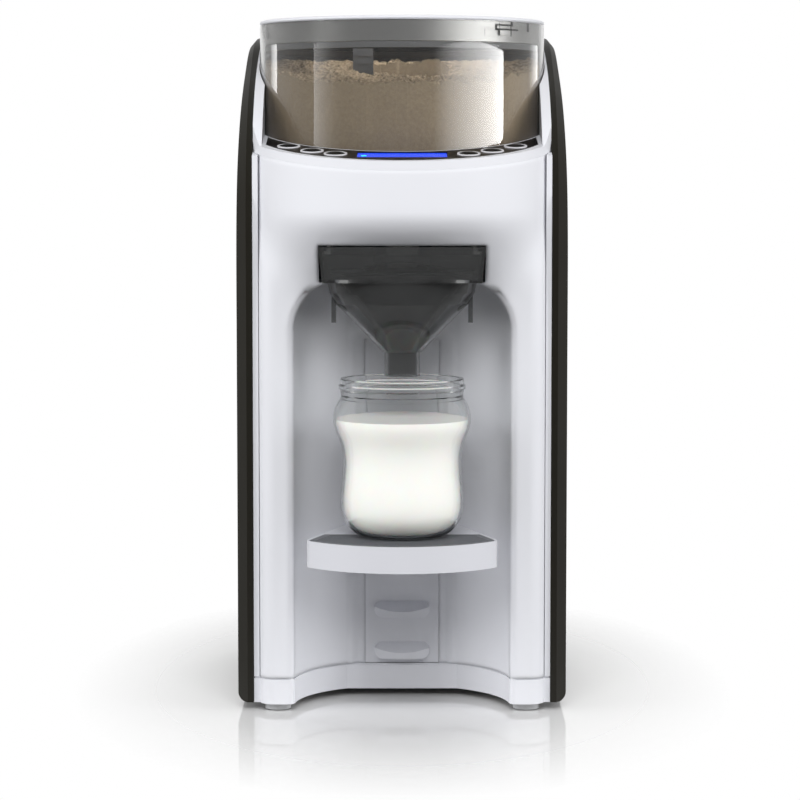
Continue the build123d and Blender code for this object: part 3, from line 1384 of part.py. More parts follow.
def tank_plan(z, inset, front_y):
    """Plan of the tank and its dock: flat in front, bowed at the back."""
    half_w = TANK_HALF_W - inset
    with BuildSketch(Plane.XY.offset(z)) as plan:
        with BuildLine():
            Polyline((half_w, TANK_SIDE_Y), (half_w, front_y), (-half_w, front_y), (-half_w, TANK_SIDE_Y))
            ThreePointArc((-half_w, TANK_SIDE_Y), (0, TANK_BACK_Y - inset), (half_w, TANK_SIDE_Y))
        make_face()
        corners = [v for v in plan.vertices() if abs(v.Y - TANK_SIDE_Y) < 1]
        fillet(corners, TANK_CORNER_R - inset)
    return plan.sketch


with BuildPart() as tank_dock:
    extrude(tank_plan(FOOT_H, 0, CASE_BACK_Y), amount=DOCK_TOP_Z - FOOT_H)
    with BuildPart(mode=Mode.SUBTRACT) as dock_cavity:
        extrude(
            tank_plan(FOOT_H + TANK_WALL, TANK_WALL, CASE_BACK_Y + TANK_WALL),
            amount=DOCK_TOP_Z - FOOT_H - 2 * TANK_WALL,
        )
        with Locations((0, SOCKET_Y, SOCKET_LOW_Z - 3)):
            Cylinder(16, 40, align=UP, mode=Mode.SUBTRACT)
    with Locations((0, SOCKET_Y, SOCKET_LOW_Z)):
        Cylinder(SPIGOT_R + 0.5, 40, align=UP, mode=Mode.SUBTRACT)
        Cylinder(1.5, PIN_TOP_Z - SOCKET_LOW_Z, align=UP)
    with Locations((0, SOCKET_Y, 143)):
        Cylinder(13.5, 3, align=UP, mode=Mode.SUBTRACT)
    with Locations((6, SOCKET_Y, SOCKET_LOW_Z)):
        Cylinder(2.5, 20, mode=Mode.SUBTRACT)
    with Locations(facing_front(CASE_BACK_Y) * Location((0, TUBE_PORT_Z, 0))):
        Cylinder(6, 4 * TANK_WALL, mode=Mode.SUBTRACT)
    with Locations(facing_front(TANK_BACK_Y) * Location((0, 18, 0))):
        Cylinder(7, 8 * TANK_WALL, mode=Mode.SUBTRACT)
keep(tank_dock, "tank_dock")

with BuildPart() as dock_seal:
    with Locations((0, SOCKET_Y, 143)):
        Cylinder(13.5, 3, align=UP)
        Cylinder(SPIGOT_R + GAP, 3, align=UP, mode=Mode.SUBTRACT)
keep(dock_seal, "dock_seal")

with BuildPart() as cord_inlet:
    with Locations(facing_front(TANK_BACK_Y - 0.3) * Location((0, 18, 0))):
        Cylinder(7, 6, align=UP)
        Cylinder(3.4, 20, mode=Mode.SUBTRACT)
keep(cord_inlet, "cord_inlet")

HINGE_Y = 104.9
HINGE_Z = TANK_RIM_Z + 2.2
KNUCKLE_R = 2.0
HINGE_PIN_R = 1.0
EAR_X = (61.0, 66.0)
with BuildPart() as water_tank:
    extrude(tank_plan(TANK_LOW_Z, TANK_GAP, TANK_FRONT_Y), amount=TANK_RIM_Z - TANK_LOW_Z)
    extrude(
        tank_plan(TANK_LOW_Z + TANK_WALL, TANK_GAP + TANK_WALL, TANK_FRONT_Y + TANK_WALL),
        amount=TANK_RIM_Z,
        mode=Mode.SUBTRACT,
    )
    with Locations((0, SOCKET_Y, SPIGOT_LOW_Z)):
        Cylinder(SPIGOT_R, TANK_LOW_Z - SPIGOT_LOW_Z, align=UP)
    with Locations((0, SOCKET_Y, SPIGOT_LOW_Z + 2)):
        Cylinder(SPIGOT_BORE_R, 40, align=UP, mode=Mode.SUBTRACT)
    with Locations((0, SOCKET_Y, SPIGOT_LOW_Z)):
        Cylinder(SEAT_HOLE_R, 10, mode=Mode.SUBTRACT)
    # bridge that guides the valve's stem and carries its spring
    with Locations((0, SOCKET_Y, TANK_LOW_Z)):
        Box(2 * SPIGOT_BORE_R + 1, 3, 2, align=UP)
        Cylinder(5.2, 2, align=UP)
        Cylinder(1.6 + FIT, 10, mode=Mode.SUBTRACT)
    for side in (-1, 1):
        with Locations((side * (EAR_X[0] + EAR_X[1]) / 2, HINGE_Y, TANK_RIM_Z - 4)):
            Box(EAR_X[1] - EAR_X[0], 2 * KNUCKLE_R, HINGE_Z - TANK_RIM_Z + 4, align=UP)
        with Locations(facing_side(side * (EAR_X[0] + EAR_X[1]) / 2) * Location((HINGE_Y, HINGE_Z, 0))):
            Cylinder(KNUCKLE_R, EAR_X[1] - EAR_X[0])
            Cylinder(HINGE_PIN_R + FIT, 2 * (EAR_X[1] - EAR_X[0]), mode=Mode.SUBTRACT)
keep(water_tank, "water_tank")

LID_T = 3.2
TANK_LID_LOW_Z = TANK_RIM_Z + 0.4
KNUCKLES = ((-72.0, -66.4), (-60.6, -54.0), (54.0, 60.6), (66.4, 72.0))
with BuildPart() as tank_lid:
    extrude(tank_plan(TANK_LID_LOW_Z, TANK_GAP, HINGE_Y + KNUCKLE_R + GAP), amount=LID_T)
    for low_x, high_x in KNUCKLES:
        with Locations((low_x, HINGE_Y, TANK_LID_LOW_Z)):
            Box(
                high_x - low_x,
                2 * KNUCKLE_R + 1,
                HINGE_Z - TANK_LID_LOW_Z,
                align=(Align.MIN, Align.MIN, Align.MIN),
            )
        with Locations(facing_side((low_x + high_x) / 2) * Location((HINGE_Y, HINGE_Z, 0))):
            Cylinder(HINGE_Z - TANK_LID_LOW_Z, high_x - low_x)
            Cylinder(HINGE_PIN_R, 2 * (high_x - low_x), mode=Mode.SUBTRACT)
    # grip hollow at the back
    with Locations((0, TANK_BACK_Y - 12, TANK_LID_LOW_Z + LID_T)):
        Box(40, 12, 2.4, mode=Mode.SUBTRACT)
keep(tank_lid, "tank_lid")

with BuildPart() as tank_lid_pin:
    for side in (-1, 1):
        with Locations(facing_side(side * 63) * Location((HINGE_Y, HINGE_Z, 0))):
            Cylinder(HINGE_PIN_R, 18)
keep(tank_lid_pin, "tank_lid_pin")

VALVE_LOW_Z = SPIGOT_LOW_Z + 2.2
with BuildPart() as tank_valve:
    with Locations((0, SOCKET_Y, PIN_TOP_Z + GAP)):
        Cylinder(2.2, VALVE_LOW_Z - PIN_TOP_Z - GAP, align=UP)
    with Locations((0, SOCKET_Y, VALVE_LOW_Z)):
        Cylinder(6.5, 2, align=UP)
        Cylinder(1.6, 13, align=UP)
keep(tank_valve, "tank_valve")

SPRING_R = 4.2
SPRING_WIRE_R = 0.45
SPRING_Z = (VALVE_LOW_Z + 2 + SPRING_WIRE_R, TANK_LOW_Z - SPRING_WIRE_R)
with BuildPart() as valve_spring:
    with BuildLine():
        Helix((SPRING_Z[1] - SPRING_Z[0]) / 3.5, SPRING_Z[1] - SPRING_Z[0], SPRING_R, center=(0, SOCKET_Y, SPRING_Z[0]))
    with BuildSketch(Plane(origin=(SPRING_R, SOCKET_Y, SPRING_Z[0]), z_dir=(0, 1, 0.06))):
        Circle(SPRING_WIRE_R)
    sweep()
keep(valve_spring, "valve_spring")

# ---------------------------------------------------------------- water and power inside the case
CHASSIS_Y = (58.5, 61.0)
PUMP_X = -30.0
PUMP_Y = 41.0
HEATER_X = 30.0
HEATER_Y = 34.0
with BuildPart() as chassis_frame:
    with Locations((0, CHASSIS_Y[0], FOOT_H + BASE_PLATE_T)):
        Box(144, CHASSIS_Y[1] - CHASSIS_Y[0], 278, align=(Align.CENTER, Align.MIN, Align.MIN))
        Box(144, 14, 2.5, align=(Align.CENTER, Align.MIN, Align.MIN))
    for x, z, w, h in ((PUMP_X, 100, 30, 20), (-38, 200, 44, 80), (38, 225, 44, 60), (0, 40, 60, 24)):
        with Locations((x, CHASSIS_Y[0], z)):
            Box(w, 40, h, mode=Mode.SUBTRACT)
    # brackets of the heater
    for z in (122, 176):
        with Locations((HEATER_X, HEATER_Y, z)):
            Box(16, CHASSIS_Y[0] - HEATER_Y, 6, align=(Align.CENTER, Align.MIN, Align.MIN))
            Cylinder(22, 20, mode=Mode.SUBTRACT)
keep(chassis_frame, "chassis_frame")

with BuildPart() as water_pump:
    with Locations((PUMP_X, PUMP_Y, 50)):
        Box(32, 2 * (CHASSIS_Y[0] - PUMP_Y), 32, align=UP)
        Cylinder(13, 22, align=DOWN)
        Cylinder(3.5, 38, align=UP)
    with Locations((PUMP_X + 16, PUMP_Y, 60)):
        Cylinder(3.5, 12, rotation=(0, 90, 0))
keep(water_pump, "water_pump")

with BuildPart() as heater:
    with Locations((HEATER_X, HEATER_Y, 110)):
        Cylinder(22, 80, align=UP)
        Cylinder(4, 88, align=UP)
        Cylinder(4, 8, align=DOWN)
keep(heater, "heater")

METER_X = 10.0
METER_Z = 60.0
NIPPLE_R = 3.5
with BuildPart() as flow_meter:
    with Locations((METER_X, PUMP_Y, METER_Z)):
        Cylinder(10, 12, rotation=(0, 90, 0))
        Cylinder(NIPPLE_R, 24, rotation=(0, 90, 0))
keep(flow_meter, "flow_meter")


def tube(path, start, end, radius):
    """Round tube swept along a smooth path that leaves along start and arrives along end."""
    with BuildPart() as pipe:
        with BuildLine():
            course = Spline(*path, tangents=(start, end))
        with BuildSketch(Plane(origin=course @ 0, z_dir=course % 0)):
            Circle(radius)
        sweep()
    return pipe.part


cold_path = (
    (6, SOCKET_Y, SOCKET_LOW_Z - 3.2),
    (4, 119, 127),
    (0, 102, 127.5),
    (-14, 80, 116),
    (PUMP_X, 60, 100),
    (PUMP_X, PUMP_Y, 88.2),
)
heater_path = ((METER_X + 12.2, PUMP_Y, METER_Z), (32, 41, 66), (35, 37, 84), (HEATER_X, HEATER_Y, 101.8))
hot_path = (
    (HEATER_X, HEATER_Y, 198.3),
    (40, 28, 222),
    (56, 10, 252),
    (58, -24, 277),
    (54, -70, 280),
    (46, -102, NOZZLE_PORT_Z),
    (30, -124, NOZZLE_PORT_Z),
    (NOZZLE_PORT_X + GAP, NOZZLE_Y, NOZZLE_PORT_Z),
)
TUBE_R = 2.3
with BuildPart() as cold_tubes:
    add(tube(cold_path, (0, 0, -1), (0, 0, -1), TUBE_R))
    add(tube(heater_path, (1, 0, 0), (0, 0, 1), TUBE_R))
keep(cold_tubes, "cold_tubes")

with BuildPart() as hot_water_tube:
    add(tube(hot_path, (0, 0, 1), (-1, 0, 0), TUBE_R))
keep(hot_water_tube, "hot_water_tube")

with BuildPart() as power_board:
    with Locations((40, CHASSIS_Y[1] + 4, 50)):
        Box(50, 1.6, 90, align=(Align.CENTER, Align.MIN, Align.MIN))
        with GridLocations(42, 0, 2, 1):
            with Locations((0, 0, 4), (0, 0, 86)):
                Cylinder(2.5, 4, rotation=(90, 0, 0), align=UP)
    with Locations((30, CHASSIS_Y[1] + 5.6, 60)):
        Box(24, 18, 28, align=(Align.CENTER, Align.MIN, Align.MIN))
    with Locations((54, CHASSIS_Y[1] + 5.6, 104), (54, CHASSIS_Y[1] + 5.6, 124)):
        Box(9, 14, 14, align=(Align.CENTER, Align.MIN, Align.MIN))
keep(power_board, "power_board")

for piece in pieces:
    export_step(piece, f"parts/{piece.label}.step")
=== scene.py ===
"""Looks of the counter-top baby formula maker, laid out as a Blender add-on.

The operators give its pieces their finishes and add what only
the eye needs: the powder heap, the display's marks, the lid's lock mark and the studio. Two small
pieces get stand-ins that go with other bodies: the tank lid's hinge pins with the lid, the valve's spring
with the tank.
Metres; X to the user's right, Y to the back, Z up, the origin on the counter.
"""

import math

import bmesh
import bpy
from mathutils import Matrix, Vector


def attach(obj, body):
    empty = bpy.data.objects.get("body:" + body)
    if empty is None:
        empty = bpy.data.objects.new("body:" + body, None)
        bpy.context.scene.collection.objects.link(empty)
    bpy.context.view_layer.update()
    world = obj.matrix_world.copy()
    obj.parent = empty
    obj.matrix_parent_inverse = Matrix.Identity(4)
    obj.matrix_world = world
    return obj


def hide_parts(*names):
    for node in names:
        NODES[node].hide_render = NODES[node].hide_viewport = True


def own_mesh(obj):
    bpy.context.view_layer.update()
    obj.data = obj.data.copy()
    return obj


bl_info = {
    "name": "Formula maker looks",
    "version": (1, 0, 0),
    "blender": (4, 5, 0),
    "location": "View3D > Sidebar > Formula maker",
    "description": "Dresses the packed formula maker and sets its studio",
    "category": "Object",
}

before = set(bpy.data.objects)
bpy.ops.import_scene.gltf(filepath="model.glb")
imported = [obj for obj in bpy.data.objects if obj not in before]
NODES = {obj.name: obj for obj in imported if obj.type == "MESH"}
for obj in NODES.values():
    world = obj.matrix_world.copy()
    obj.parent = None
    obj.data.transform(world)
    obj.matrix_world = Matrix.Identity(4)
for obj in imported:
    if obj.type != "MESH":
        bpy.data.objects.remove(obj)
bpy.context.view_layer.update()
MM = 0.001

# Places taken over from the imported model, in millimetres
CONTAINER_Y = -40.0
POWDER_R = 81.2
POWDER_HOLE_R = 31.2
POWDER_LOW_Z = 319.5
POWDER_TOP_Z = 375.5
SKIRT_R = 80.7
LIP_Y = -154.0  # front edge of the sloped deck
LIP_Z = 317.0
DECK_SLOPE = 0.17
DISPLAY_Y = -135.6
DISPLAY_SUNK = 0.5
PRINT_LIFT = 0.02  # how far a print lies off its ground
BUTTONS = tuple(f"button_{number}" for number in range(1, 7))


def linear(code):
    """The linear colour of an sRGB hex value such as '#e9ebef'."""
    channels = (int(code[n : n + 2], 16) / 255 for n in (1, 3, 5))
    return tuple(c / 12.92 if c <= 0.04045 else ((c + 0.055) / 1.055) ** 2.4 for c in channels)


def rgba(colour):
    return (*colour[:3], 1.0)


def scaled(colour, share):
    return tuple(channel * share for channel in colour[:3])


def per_mm(size_mm):
    """Noise scale at which one feature measures size_mm."""
    return 1 / (size_mm * MM)


# ---------------------------------------------------------------- settings
class BodySettings(bpy.types.PropertyGroup):
    white: bpy.props.FloatVectorProperty(
        name="White", description="Semi-gloss moulded shells", subtype="COLOR", default=linear("#dfe0e5")
    )
    charcoal: bpy.props.FloatVectorProperty(
        name="Charcoal", description="Side panels", subtype="COLOR", default=linear("#1c1a14")
    )
    insert_grey: bpy.props.FloatVectorProperty(
        name="Insert", description="Ledge insert in the bay", subtype="COLOR", default=linear("#dcdde2")
    )
    tray: bpy.props.FloatVectorProperty(
        name="Tray", description="Bottle tray", subtype="COLOR", default=linear("#d5d6dc")
    )
    grain_mm: bpy.props.FloatProperty(
        name="Grain", description="Size of the mould's fine grain in millimetres", default=0.9, min=0.2
    )


class ClearSettings(bpy.types.PropertyGroup):
    smoke: bpy.props.FloatVectorProperty(
        name="Smoke", description="Tint of the powder container", subtype="COLOR", default=linear("#cfcfce")
    )
    funnel: bpy.props.FloatVectorProperty(
        name="Funnel smoke", description="Dark tint of the funnel", subtype="COLOR", default=linear("#a8a9a9")
    )
    bottle: bpy.props.FloatVectorProperty(
        name="Bottle", description="Clear bottle plastic", subtype="COLOR", default=linear("#f4f5f5")
    )
    tank: bpy.props.FloatVectorProperty(
        name="Tank", description="Clear tank plastic", subtype="COLOR", default=linear("#c9d4dc")
    )


class PowderSettings(bpy.types.PropertyGroup):
    colour: bpy.props.FloatVectorProperty(
        name="Powder", description="Colour of the milk powder", subtype="COLOR", default=linear("#a99880")
    )
    grain_mm: bpy.props.FloatProperty(
        name="Clump", description="Size of the powder's clumps in millimetres", default=1.6, min=0.5
    )
    milk: bpy.props.FloatVectorProperty(
        name="Milk", description="Colour of the prepared milk", subtype="COLOR", default=linear("#f3f1ec")
    )


class ControlSettings(bpy.types.PropertyGroup):
    blue: bpy.props.FloatVectorProperty(
        name="Display", description="Colour of the lit display", subtype="COLOR", default=linear("#1a4af0")
    )
    marks: bpy.props.FloatVectorProperty(
        name="Marks", description="Colour of the display's marks", subtype="COLOR", default=linear("#35e0ff")
    )
    glow: bpy.props.FloatProperty(name="Glow", description="Strength of the display", default=0.78, min=0)


class StageSettings(bpy.types.PropertyGroup):
    distance: bpy.props.FloatProperty(
        name="Distance", description="Camera's distance in front of the origin", default=1.714, unit="LENGTH"
    )
    eye: bpy.props.FloatProperty(
        name="Eye height", description="Camera's height", default=0.3147, unit="LENGTH"
    )
    pitch: bpy.props.FloatProperty(
        name="Pitch", description="How far the camera looks down", default=math.radians(4.8), unit="ROTATION"
    )
    lens: bpy.props.FloatProperty(name="Lens", description="Focal length in millimetres", default=126.3)
    aside: bpy.props.FloatProperty(
        name="Aside", description="Camera's place left or right", default=-0.0012, unit="LENGTH"
    )


# ---------------------------------------------------------------- materials
def feed(tree, node, links):
    """Link outputs to the node's inputs."""
    for key, source in links.items():
        tree.links.new(source, node.inputs[key])


def put(tree, kind, values=None, links=None):
    """Add a node, set its sockets or properties and link its inputs."""
    node = tree.nodes.new(kind)
    for key, value in (values or {}).items():
        if isinstance(key, int) or key in node.inputs:
            node.inputs[key].default_value = value
        else:
            setattr(node, key, value)
    feed(tree, node, links or {})
    return node


def new_material(name, shader_values):
    """A material with a principled shader of these values; its tree, shader, output and coordinates too."""
    material = bpy.data.materials.new(name)
    material.use_nodes = True
    tree = material.node_tree
    tree.nodes.clear()
    shader = put(tree, "ShaderNodeBsdfPrincipled", shader_values)
    output = put(tree, "ShaderNodeOutputMaterial", links={"Surface": shader.outputs[0]})
    place = put(tree, "ShaderNodeTexCoord").outputs["Object"]
    material.diffuse_color = rgba(shader_values.get("Base Color", (0.8, 0.8, 0.8)))
    return material, tree, shader, output, place


def mottle(tree, place, colour, size_mm, spread, detail=2):
    """Colour that drifts between two near shades over patches of size_mm."""
    noise = put(tree, "ShaderNodeTexNoise", {"Scale": per_mm(size_mm), "Detail": detail}, {"Vector": place})
    mix = put(
        tree,
        "ShaderNodeMix",
        {"data_type": "RGBA", 6: rgba(scaled(colour, 1 - spread)), 7: rgba(scaled(colour, 1 + spread))},
        {0: noise.outputs["Fac"]},
    )
    return mix.outputs[2]


def grain(tree, place, size_mm, depth_mm, round_mm=0.0):
    """Bump of a fine grain, over edges that are softened by round_mm."""
    noise = put(tree, "ShaderNodeTexNoise", {"Scale": per_mm(size_mm), "Detail": 2}, {"Vector": place})
    bump = put(
        tree,
        "ShaderNodeBump",
        {"Strength": 1.0, "Distance": depth_mm * MM},
        {"Height": noise.outputs["Fac"]},
    )
    if round_mm:
        edges = put(tree, "ShaderNodeBevel", {"samples": 8, "Radius": round_mm * MM})
        feed(tree, bump, {"Normal": edges.outputs[0]})
    return bump.outputs["Normal"]


def soft_gloss(tree, place, low, high, size_mm):
    """Roughness that wanders between low and high, as handling leaves it."""
    noise = put(tree, "ShaderNodeTexNoise", {"Scale": per_mm(size_mm), "Detail": 4}, {"Vector": place})
    span = put(
        tree, "ShaderNodeMapRange", {"To Min": low, "To Max": high}, {"Value": noise.outputs["Fac"]}
    )
    return span.outputs[0]


def moulded(name, colour, gloss, grain_mm=0.9, depth_mm=0.004, spread=0.015, ior=1.5, round_mm=0.0):
    """Injection-moulded plastic: an even colour, a faint mould grain and slightly uneven gloss."""
    material, tree, shader, _, place = new_material(name, {"Base Color": rgba(colour), "IOR": ior})
    links = {
        "Base Color": mottle(tree, place, colour, 45, spread),
        "Roughness": soft_gloss(tree, place, gloss * 0.85, gloss * 1.15, 30),
        "Normal": grain(tree, place, grain_mm, depth_mm, round_mm),
    }
    feed(tree, shader, links)
    return material


def clear(name, colour, rough=0.02, haze=0.0):
    """Clear moulded plastic, hazy by a share; shadow rays pass tinted, so what is inside stays lit."""
    material, tree, shader, output, place = new_material(
        name, {"Base Color": rgba(colour), "IOR": 1.49, "Transmission Weight": 1.0}
    )
    links = {
        "Base Color": mottle(tree, place, colour, 40, 0.02),
        "Roughness": soft_gloss(tree, place, rough * 0.6, rough * 1.4, 25),
    }
    feed(tree, shader, links)
    milky = put(tree, "ShaderNodeBsdfDiffuse", {"Color": rgba(scaled(colour, 0.3))})
    body = put(tree, "ShaderNodeMixShader", {0: haze}, {1: shader.outputs[0], 2: milky.outputs[0]})
    path = put(tree, "ShaderNodeLightPath")
    passing = put(tree, "ShaderNodeBsdfTransparent", {"Color": rgba(scaled(colour, 0.95 * (1 - haze)))})
    mix = put(
        tree,
        "ShaderNodeMixShader",
        links={0: path.outputs["Is Shadow Ray"], 1: body.outputs[0], 2: passing.outputs[0]},
    )
    feed(tree, output, {"Surface": mix.outputs[0]})
    return material


def metal(name, colour, rough, stretch=(1, 1, 1), grain_mm=0.4):
    """Metal with fine lines along the axis that stretch leaves short."""
    material, tree, shader, _, place = new_material(name, {"Base Color": rgba(colour), "Metallic": 1.0})
    mapping = put(tree, "ShaderNodeMapping", {"Scale": stretch}, {"Vector": place})
    lines = mapping.outputs["Vector"]
    links = {
        "Base Color": mottle(tree, lines, colour, 3 * grain_mm, 0.05, detail=4),
        "Roughness": soft_gloss(tree, lines, rough * 0.8, rough * 1.25, grain_mm * 6),
        "Normal": grain(tree, lines, grain_mm, 0.003),
    }
    feed(tree, shader, links)
    return material


def rubber(name, colour):
    """Moulded silicone or rubber: matt, with a fine pebble."""
    material, tree, shader, _, place = new_material(name, {"Base Color": rgba(colour), "IOR": 1.43})
    links = {
        "Base Color": mottle(tree, place, colour, 12, 0.05),
        "Roughness": soft_gloss(tree, place, 0.55, 0.72, 8),
        "Normal": grain(tree, place, 0.6, 0.02),
    }
    feed(tree, shader, links)
    return material


def glowing(name, colour, strength):
    """Lit face behind a clear window, a little uneven from its edge lights."""
    material, tree, shader, _, place = new_material(
        name, {"Base Color": rgba(scaled(colour, 0.6)), "Roughness": 0.12, "Emission Strength": strength}
    )
    feed(tree, shader, {"Emission Color": mottle(tree, place, colour, 14, 0.25)})
    return material


def milk_powder(name, colour, clump_mm):
    """Spray-dried milk powder: smooth where a wall pressed it, crumbs where it is loose; the colour follows
    the bump's noise, painted shade in its hollows and painted light on its crests.
    """
    material, tree, shader, _, place = new_material(name, {"Base Color": rgba(colour), "Roughness": 0.95})
    texture = {"Scale": per_mm(clump_mm), "Detail": 6, "Roughness": 0.7}
    clumps = put(tree, "ShaderNodeTexNoise", texture, {"Vector": place}).outputs["Fac"]
    # shares of the colour in the bump's hollows and on its crests: painted shade and painted light, mild
    # where a wall pressed the powder, strong where it is loose
    pressed_painted_shading, loose_painted_shading = (0.82, 1.03), (0.35, 1.6)
    painted_shadings = []
    for shares in (pressed_painted_shading, loose_painted_shading):
        ramp = put(tree, "ShaderNodeValToRGB", links={0: clumps})
        for element, at, share in zip(ramp.color_ramp.elements, (0.36, 0.64), shares):
            element.position = at
            element.color = rgba(scaled(colour, share))
        painted_shadings.append(ramp.outputs[0])
    # faces turned up take the strong painted shade and painted light, the others the mild one
    normal = put(tree, "ShaderNodeNewGeometry").outputs["True Normal"]
    upward = put(tree, "ShaderNodeSeparateXYZ", links={0: normal}).outputs["Z"]
    on_top = put(tree, "ShaderNodeMapRange", {"From Min": 0.1, "From Max": 0.3}, {"Value": upward})
    sources = {0: on_top.outputs[0], 6: painted_shadings[0], 7: painted_shadings[1]}
    shade = put(tree, "ShaderNodeMix", {"data_type": "RGBA"}, sources)
    bump = put(tree, "ShaderNodeBump", {"Strength": 0.6, "Distance": 0.6 * MM}, {"Height": clumps})
    feed(tree, shader, {"Base Color": shade.outputs[2], "Normal": bump.outputs[0]})
    return material


def milk_liquid(name, colour):
    """Milk: white, soft and slightly see-through at its edge."""
    material, tree, shader, _, place = new_material(
        name,
        {
            "Base Color": rgba(colour),
            "Roughness": 0.25,
            "Subsurface Weight": 0.3,
            "Subsurface Scale": 0.004,
            "IOR": 1.35,
        },
    )
    feed(tree, shader, {"Base Color": mottle(tree, place, colour, 30, 0.01)})
    return material


def circuit(name, colour):
    """Green solder mask with paler tracks."""
    material, tree, shader, _, place = new_material(name, {"Base Color": rgba(colour), "Roughness": 0.35})
    tracks = put(tree, "ShaderNodeTexBrick", {"Scale": per_mm(60), "Mortar Size": 0.04}, {"Vector": place})
    for key, share in (("Color1", 1.0), ("Color2", 0.8), ("Mortar", 1.9)):
        tracks.inputs[key].default_value = rgba(scaled(colour, share))
    feed(tree, shader, {"Base Color": tracks.outputs["Color"]})
    return material


def dress(material, *names):
    """Give CAD nodes a finish."""
    for name in names:
        mesh = NODES[name].data
        mesh.materials.clear()
        mesh.materials.append(material)


# ---------------------------------------------------------------- modelling helpers
def deselect():
    """Leave edit mode with nothing selected."""
    if bpy.context.object and bpy.context.object.mode == "EDIT":
        bpy.ops.object.mode_set(mode="OBJECT")
    bpy.ops.object.select_all(action="DESELECT")


def take(piece):
    """Select this piece alone and make it the active one."""
    deselect()
    piece.select_set(True)
    bpy.context.view_layer.objects.active = piece


def named(name):
    """The object just added, with its own name."""
    piece = bpy.context.object
    piece.name = piece.data.name = name
    return piece


def pick(piece, kind, wanted):
    """Enter edit mode and select the faces or vertices whose place and normal are wanted."""
    take(piece)
    bpy.ops.object.mode_set(mode="EDIT")
    bpy.ops.mesh.select_mode(type=kind)
    bpy.ops.mesh.select_all(action="DESELECT")
    mesh = bmesh.from_edit_mesh(piece.data)
    for part in mesh.faces if kind == "FACE" else mesh.verts:
        place = part.calc_center_median() if kind == "FACE" else part.co
        part.select_set(wanted(place, part.normal))
    mesh.select_flush(True)
    bmesh.update_edit_mesh(piece.data)


def settle(piece, material, angle=30):
    """Apply the place and the modifiers, merge the mesh, turn its normals out, shade it and finish it."""
    take(piece)
    bpy.ops.object.transform_apply(location=True, rotation=True, scale=True)
    for modifier in list(piece.modifiers):
        bpy.ops.object.modifier_apply(modifier=modifier.name)
    bpy.ops.object.mode_set(mode="EDIT")
    bpy.ops.mesh.select_all(action="SELECT")
    bpy.ops.mesh.remove_doubles(threshold=1e-6)
    bpy.ops.mesh.normals_make_consistent(inside=False)
    bpy.ops.object.mode_set(mode="OBJECT")
    bpy.ops.object.shade_smooth_by_angle(angle=math.radians(angle))
    piece.data.materials.clear()
    piece.data.materials.append(material)


def stand_in(node, name, body):
    """A merged copy of a CAD node that moves with another body, or differently, in its place."""
    deselect()
    bpy.ops.object.add(type="MESH")
    piece = named(name)
    piece.data = NODES[node].data.copy()
    piece.matrix_world = NODES[node].matrix_world
    settle(piece, NODES[node].data.materials[0])
    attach(piece, body)
    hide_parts(node)
    return piece


# ---------------------------------------------------------------- operators
class OBJECT_OT_shells(bpy.types.Operator):
    """Finish the white mouldings, the charcoal side panels and the bay's insert"""

    bl_idname = "formula.shells"
    bl_label = "Shells"

    def execute(self, context):
        body = context.scene.formula_body
        white = moulded("ABS semi-gloss white moulded", body.white, 0.42, body.grain_mm)
        dress(white, "top_housing", "base_skirt", "rear_shell")
        soft = moulded("ABS semi-gloss white soft-edged", body.white, 0.42, body.grain_mm, round_mm=4)
        dress(soft, "front_shell")
        dress(moulded("ABS semi-gloss white lid", body.white, 0.35), "lid_cap")
        dress(moulded("ABS satin dark grey lid plug", linear("#222224"), 0.45), "lid_plug")
        charcoal = moulded("ABS satin charcoal moulded", body.charcoal, 0.5, depth_mm=0.012, spread=0.05)
        dress(charcoal, "left_side_panel", "right_side_panel", "tank_dock", "tank_lid")
        dress(moulded("ABS satin light grey insert", body.insert_grey, 0.4), "height_panel")
        return {"FINISHED"}


# Strokes of the lid's lock mark, above the lugs: from and to which angle, low and high in millimetres.
# The angles are in degrees from the front to the right.
LOCK_STROKES = (
    (41, 54.5, 391, 392),
    (40.5, 41.5, 391, 394.5),
    (41, 51, 393.5, 394.5),
    (50, 51, 394.5, 396),
    (61.5, 63.5, 391, 396),
)


